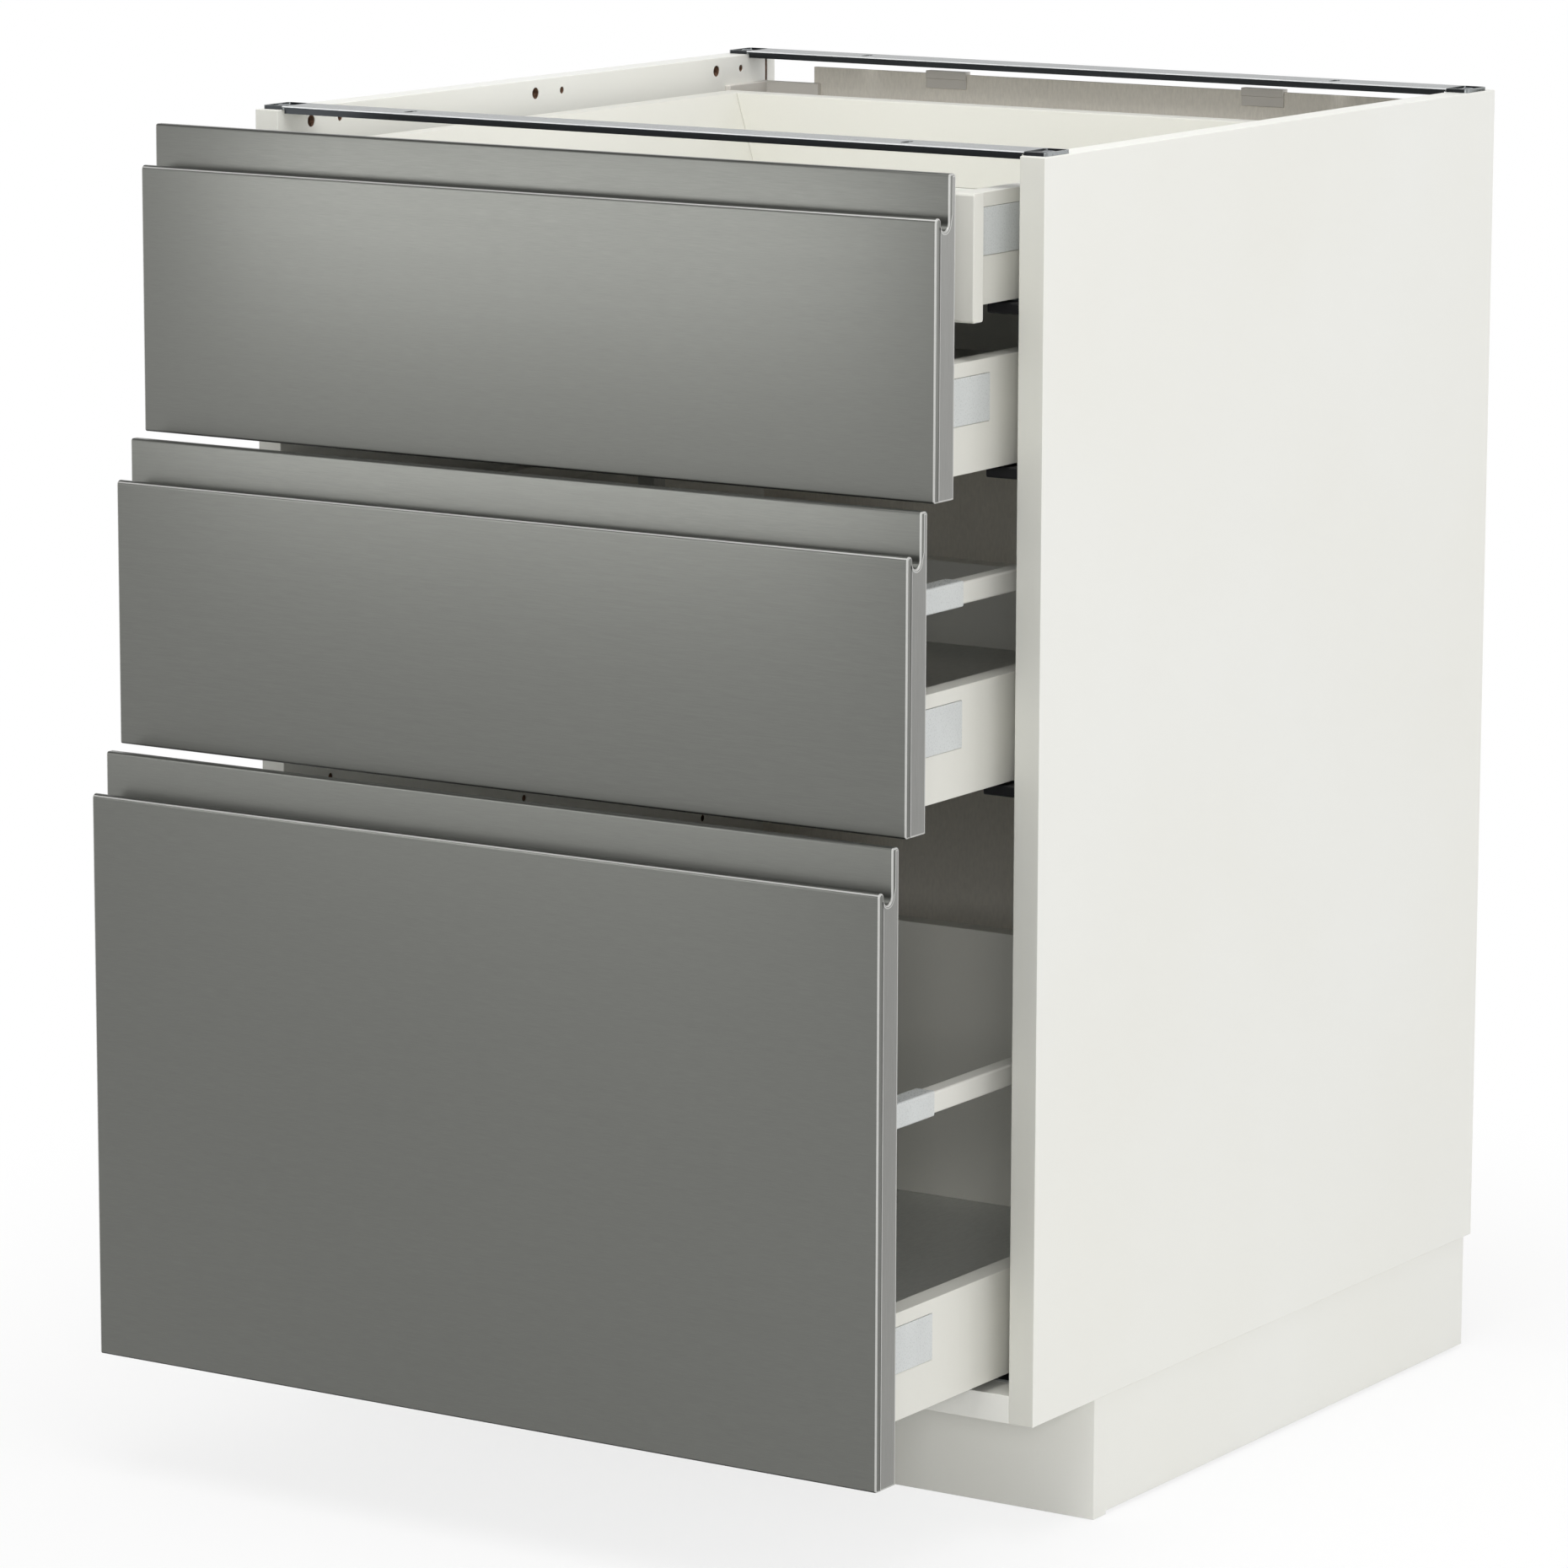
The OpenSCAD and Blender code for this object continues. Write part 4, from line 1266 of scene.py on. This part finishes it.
@dataclass
class Screws:
    """Pan-head screws with a cross recess, one on each stub of a CAD node. Sizes are in millimetres."""

    finishes: Finishes
    node: str
    head_h: float
    head_r: float = 4.0
    arm: float = 4.6
    arm_share: float = 0.28
    upwards: bool = False
    turns: int = 28
    profile: tuple[Point2, ...] = ((1.0, 0.0), (1.0, 0.45), (0.93, 0.75), (0.78, 0.93), (0.6, 1.0))
    recess: tuple[float, float] = (1.3, 1.05)

    def head(self) -> bpy.types.Object:
        """Builds one head, with its seat at the origin and its crown towards +Z.

        Returns:
            A helper object.
        """
        r, h, turns = self.head_r * MM, self.head_h * MM, self.turns
        angles = [math.tau * i / turns for i in range(turns)]
        work = bmesh.new()
        loops = [
            [work.verts.new((wide * r * math.cos(a), wide * r * math.sin(a), tall * h)) for a in angles]
            for wide, tall in self.profile
        ]
        for lower, upper in zip(loops, loops[1:]):
            for i in range(turns):
                j = (i + 1) % turns
                work.faces.new((lower[i], lower[j], upper[j], upper[i]))
        work.faces.new(loops[0][::-1])
        work.faces.new(loops[-1])
        head = linked(helper(self.node + "_head", work))
        cross = bmesh.new()
        height, middle = self.recess
        narrow = self.arm_share * self.arm
        for span in ((self.arm, narrow), (narrow, self.arm)):
            add_block(cross, (span[0] * MM, span[1] * MM, height * h), (0, 0, middle * h))
        carve(head, helper(self.node + "_cross", cross), "DIFFERENCE", use_self=True)
        bpy.context.scene.collection.objects.unlink(head)
        return head

    def build(self) -> None:
        """Sets a head on each stub."""
        places = []
        height = self.head_h * MM
        for low, high in islands(self.node):
            middle = (low + high) / 2
            if self.upwards:
                places.append(((middle.x, middle.y, high.z - height), UP))
            else:
                hand = 1.0 if middle.x > 0 else -1.0
                inner = low.x if hand > 0 else high.x
                places.append(((inner + hand * height, middle.y, middle.z), (-hand, 0.0, 0.0)))
        points = aimed_points(self.node + "_points", places)
        finish = self.finishes[slot_of(self.node)]
        made = grown(self.node + "_heads", Growth.PLACED_COPIES, finish, Points=points, Piece=self.head())
        stand_in(made, self.node)


@dataclass(frozen=True)
class Ribs:
    """A ring of ribs round each leg. Sizes are in millimetres, a rib's along the radius, round it and up."""

    name: str
    node: str
    size: Point3
    count: int
    radius: float
    low: float
    rounding: float = 0.25

    def build(self, material: bpy.types.Material) -> None:
        """Sets the ribs round all four legs.

        Args:
            material: Their finish.
        """
        work = bmesh.new()
        add_block(work, [s * MM for s in self.size], (0, 0, self.size[2] / 2 * MM))
        round_edges(work, work.edges[:], self.rounding * min(self.size) * MM)
        rib = helper(self.name + "_rib", work)
        places = [(((a.x + b.x) / 2, (a.y + b.y) / 2, self.low * MM), UP) for a, b in islands(self.node)]
        points = aimed_points(self.name + "_points", places)
        made = grown(
            self.name, Growth.RING_OF_RIBS, material,
            Points=points, Rib=rib, Count=self.count, Radius=self.radius * MM,
        )
        place_piece(made, "carcass", "black_plastic")


@dataclass
class LegSet:
    """The adjustable legs: tubes with ribs, and feet with a gripped rim. Sizes are in millimetres."""

    finishes: Finishes
    leg_rounding: float = 0.6
    foot_rounding: float = 0.8
    rib_drop: float = 42.0

    def build(self) -> None:
        """Makes the legs and the feet."""
        plastic = self.finishes["black_plastic"]
        stand_in(eased("legs", self.leg_rounding * MM, plastic), "legs")
        stand_in(eased("leg_feet", self.foot_rounding * MM, plastic, segments=3), "leg_feet")
        rib_low = islands("legs")[0][1].z / MM - self.rib_drop
        Ribs("leg_ribs", "legs", (2.6, 1.6, 26.0), count=8, radius=15.9, low=rib_low).build(plastic)
        Ribs("foot_grips", "leg_feet", (1.6, 2.2, 4.4), count=30, radius=24.6, low=0.8).build(plastic)


@dataclass(frozen=True)
class Softbox:
    """A rectangular lamp. Lengths are in metres, and the power is in watts."""

    name: str
    place: Point3
    target: Point3
    size: tuple[float, float]
    power: float
    card: bool = False

    def build(self) -> None:
        """Adds the lamp. One that is a card shows only in reflections, as a reflector card does."""
        data = bpy.data.lights.new(self.name, "AREA")
        data.shape = "RECTANGLE"
        data.size, data.size_y = self.size
        data.energy = self.power
        lamp = linked(bpy.data.objects.new(self.name, data))
        aim = (Vector(self.target) - Vector(self.place)).to_track_quat("-Z", "Y")
        lamp.matrix_world = Matrix.Translation(self.place) @ aim.to_matrix().to_4x4()
        lamp.visible_camera = False
        lamp.visible_diffuse = not self.card


@dataclass
class Studio:
    """Camera, pale floor and soft light. Lengths are in metres, angles in degrees."""

    place: Point3 = (2.4786, -3.8983, 1.2810)
    yaw: float = 32.667
    pitch: float = -10.442
    roll: float = 0.177
    lens: float = 161.55
    sensor: float = 36.0
    farthest: float = 60.0
    fill: float = 0.6
    shadow_reach: float = 0.7
    shadow_share: float = 0.22
    mirror_reach: float = 3.5
    ceiling: float = 0.15
    ceiling_start: float = 0.3
    ceiling_full: float = 0.7
    floor_r: float = 40.0
    floor_sides: int = 96
    floor_drop: float = 0.0005
    floor_tones: tuple[float, float] = (0.84, 0.96)
    lamps: tuple[Softbox, ...] = (
        Softbox("right_softbox", (3.2, 2.5, 1.6), (0.3, 0.3, 0.5), (2.4, 2.4), 23.0),
        Softbox("front_softbox", (-0.8, -1.65, 0.8), (0.0, -0.35, 0.8), (1.3, 0.3), 5.0, card=True),
        Softbox("camera_side_fill", (2.5, -3.85, 1.35), (0.0, -0.1, 0.45), (0.8, 0.8), 38.0),
        Softbox("top_softbox", (0.4, -1.0, 2.9), (0.0, 0.1, 0.6), (1.8, 1.8), 35.0),
    )

    def camera(self) -> None:
        """Sets the camera at the photograph's angle."""
        yaw, pitch, roll = (math.radians(a) for a in (self.yaw, self.pitch, self.roll))
        ahead = Vector((-math.sin(yaw) * math.cos(pitch), math.cos(yaw) * math.cos(pitch), math.sin(pitch)))
        level = Vector((math.cos(yaw), math.sin(yaw), 0.0))
        steep = level.cross(ahead)
        right = math.cos(roll) * level + math.sin(roll) * steep
        up = -math.sin(roll) * level + math.cos(roll) * steep
        data = bpy.data.cameras.new("camera")
        data.lens = self.lens
        data.sensor_width = self.sensor
        data.clip_end = self.farthest
        camera = linked(bpy.data.objects.new("camera", data))
        turn = Matrix((right, up, -ahead)).transposed().to_4x4()
        camera.matrix_world = Matrix.Translation(self.place) @ turn
        bpy.context.scene.camera = camera

    def ray(self, tree: bpy.types.NodeTree, kind: str) -> Socket:
        """Returns the mask of one kind of ray."""
        return add_node(tree, "ShaderNodeLightPath").outputs[f"Is {kind} Ray"]

    def seen(self, tree: bpy.types.NodeTree) -> Socket:
        """Adds a mask for rays from the camera, mirrors and glass.

        Args:
            tree: The node tree.

        Returns:
            1 for such a ray, 0 for any other.
        """
        total = self.ray(tree, "Camera")
        for kind in ("Glossy", "Transmission"):
            total = worked_out(tree, "ADD", total, self.ray(tree, kind), use_clamp=True)
        return total

    def world(self) -> None:
        """Makes a white surround that lights the cabinet only softly, with a dim ceiling in mirrors."""
        world = bpy.data.worlds.new("studio")
        world.use_nodes = True
        tree = world.node_tree
        soft = {"Value": self.seen(tree), "To Min": self.fill, "To Max": 1.0}
        level = out_of(tree, "ShaderNodeMapRange", soft)
        place = add_node(tree, "ShaderNodeTexCoord").outputs["Generated"]
        height = add_node(tree, "ShaderNodeSeparateXYZ", {0: place}).outputs["Z"]
        rise = {"Value": height, "From Min": self.ceiling_start, "From Max": self.ceiling_full}
        ceiling = out_of(tree, "ShaderNodeMapRange", rise, interpolation_type="SMOOTHSTEP")
        mirrored = worked_out(tree, "MULTIPLY", ceiling, self.ray(tree, "Glossy"))
        dimmed = worked_out(tree, "MULTIPLY_ADD", mirrored, self.ceiling - 1, 1.0)
        strength = worked_out(tree, "MULTIPLY", level, dimmed)
        feed(tree.nodes["Background"], {"Color": (1, 1, 1, 1), "Strength": strength})
        bpy.context.scene.world = world

    def floor_finish(self) -> bpy.types.Material:
        """Builds the floor's material, which turns from matt to glowing white away from the cabinet.

        Returns:
            The material.
        """
        material = bpy.data.materials.new("floor")
        material.use_nodes = True
        tree = material.node_tree
        tree.nodes.clear()
        seen = self.seen(tree)
        dark, light = self.floor_tones
        shade = out_of(tree, "ShaderNodeMapRange", {"Value": seen, "To Min": dark, "To Max": light})
        low, high = CAD_BOX
        reach = add_node(tree, "ShaderNodeTexCoord").outputs["Object"]
        for operation, *value in (
            ("SUBTRACT", ((low.x + high.x) / 2, (low.y + high.y) / 2, 0.0)),
            ("ABSOLUTE",),
            ("SUBTRACT", ((high.x - low.x) / 2, (high.y - low.y) / 2, 0.0)),
            ("MAXIMUM", (0.0, 0.0, 0.0)),
            ("LENGTH",),
        ):
            inputs = dict(enumerate((reach, *value)))
            node = add_node(tree, "ShaderNodeVectorMath", inputs, operation=operation)
            reach = node.outputs["Value" if operation == "LENGTH" else "Vector"]
        near = {"Value": reach, "From Max": self.shadow_reach, "To Min": 1 - self.shadow_share}
        fade = out_of(tree, "ShaderNodeMapRange", near, interpolation_type="SMOOTHSTEP")
        far = {"Value": reach, "From Max": self.mirror_reach}
        mirrored = out_of(tree, "ShaderNodeMapRange", far, interpolation_type="SMOOTHSTEP")
        choice = out_of(tree, "ShaderNodeMix", {"Factor": self.ray(tree, "Camera"), "A": mirrored, "B": fade})
        share = worked_out(tree, "MULTIPLY", choice, seen)
        matt = out_of(tree, "ShaderNodeBsdfDiffuse", {"Color": shade})
        glow = out_of(tree, "ShaderNodeEmission")
        mixed = out_of(tree, "ShaderNodeMixShader", {0: share, 1: matt, 2: glow})
        add_node(tree, "ShaderNodeOutputMaterial", {0: mixed})
        return material

    def floor(self) -> None:
        """Lays a pale floor that keeps the shadow and fades to white."""
        work = bmesh.new()
        bmesh.ops.create_circle(work, cap_ends=True, segments=self.floor_sides, radius=self.floor_r)
        floor = linked(helper("floor", work))
        floor.data.transform(Matrix.Translation((0, 0, -self.floor_drop)))
        floor.data.materials.append(self.floor_finish())

    def build(self) -> None:
        """Sets up the studio."""
        bpy.context.scene.view_settings.view_transform = "Standard"
        self.camera()
        self.world()
        self.floor()
        for lamp in self.lamps:
            lamp.build()


ROWS = ("top", "middle", "bottom")
DRAWERS = ("inner", *ROWS)
GALLERIES = ("middle", "bottom")
CARCASS_WIDTHS = {
    "side_left": 0.6, "side_right": 0.6, "bottom_panel": 0.4, "back_panel": 0.3,
    "rear_brackets": 0.9, "back_clips": 0.35, "cam_fittings": 0.25,
    "plinth_front": 0.5, "plinth_left": 0.5, "plinth_right": 0.5, "plinth_clips": 0.6,
    "runner_rails": 0.35, "runner_noses": 0.7, "inner_front": 0.8,
}
DRAWER_WIDTHS = {
    "side_left": 0.5, "side_right": 0.5, "base": 0.3, "back": 0.8,
    "brackets": 0.3, "caps": 0.4, "slides": 0.35,
}
GALLERY_WIDTHS = {"gallery": 0.5, "gallery_ends": 0.35}


def easing_widths() -> dict[str, float]:
    """Lists the nodes whose CAD shape stays, with the width of their eased edges in mm.

    Returns:
        Node names and widths.
    """
    widths = dict(CARCASS_WIDTHS)
    for drawers, pieces in ((DRAWERS, DRAWER_WIDTHS), (GALLERIES, GALLERY_WIDTHS)):
        widths |= {f"{drawer}_{piece}": width for drawer in drawers for piece, width in pieces.items()}
    return widths


def main() -> None:
    """Builds the studio and every piece."""
    Studio().build()
    finishes = Finishes()
    swept_section_tree()
    placed_copies_tree()
    ring_of_ribs_tree()
    Easing(finishes, easing_widths()).build()
    for row in ROWS:
        FrontRow(finishes, row).build()
    TopRails(finishes).build()
    Screws(finishes, "runner_screws", head_h=2.0).build()
    Screws(finishes, "rail_screws", head_h=1.0, upwards=True).build()
    LegSet(finishes).build()


if __name__ == "__main__":
    main()
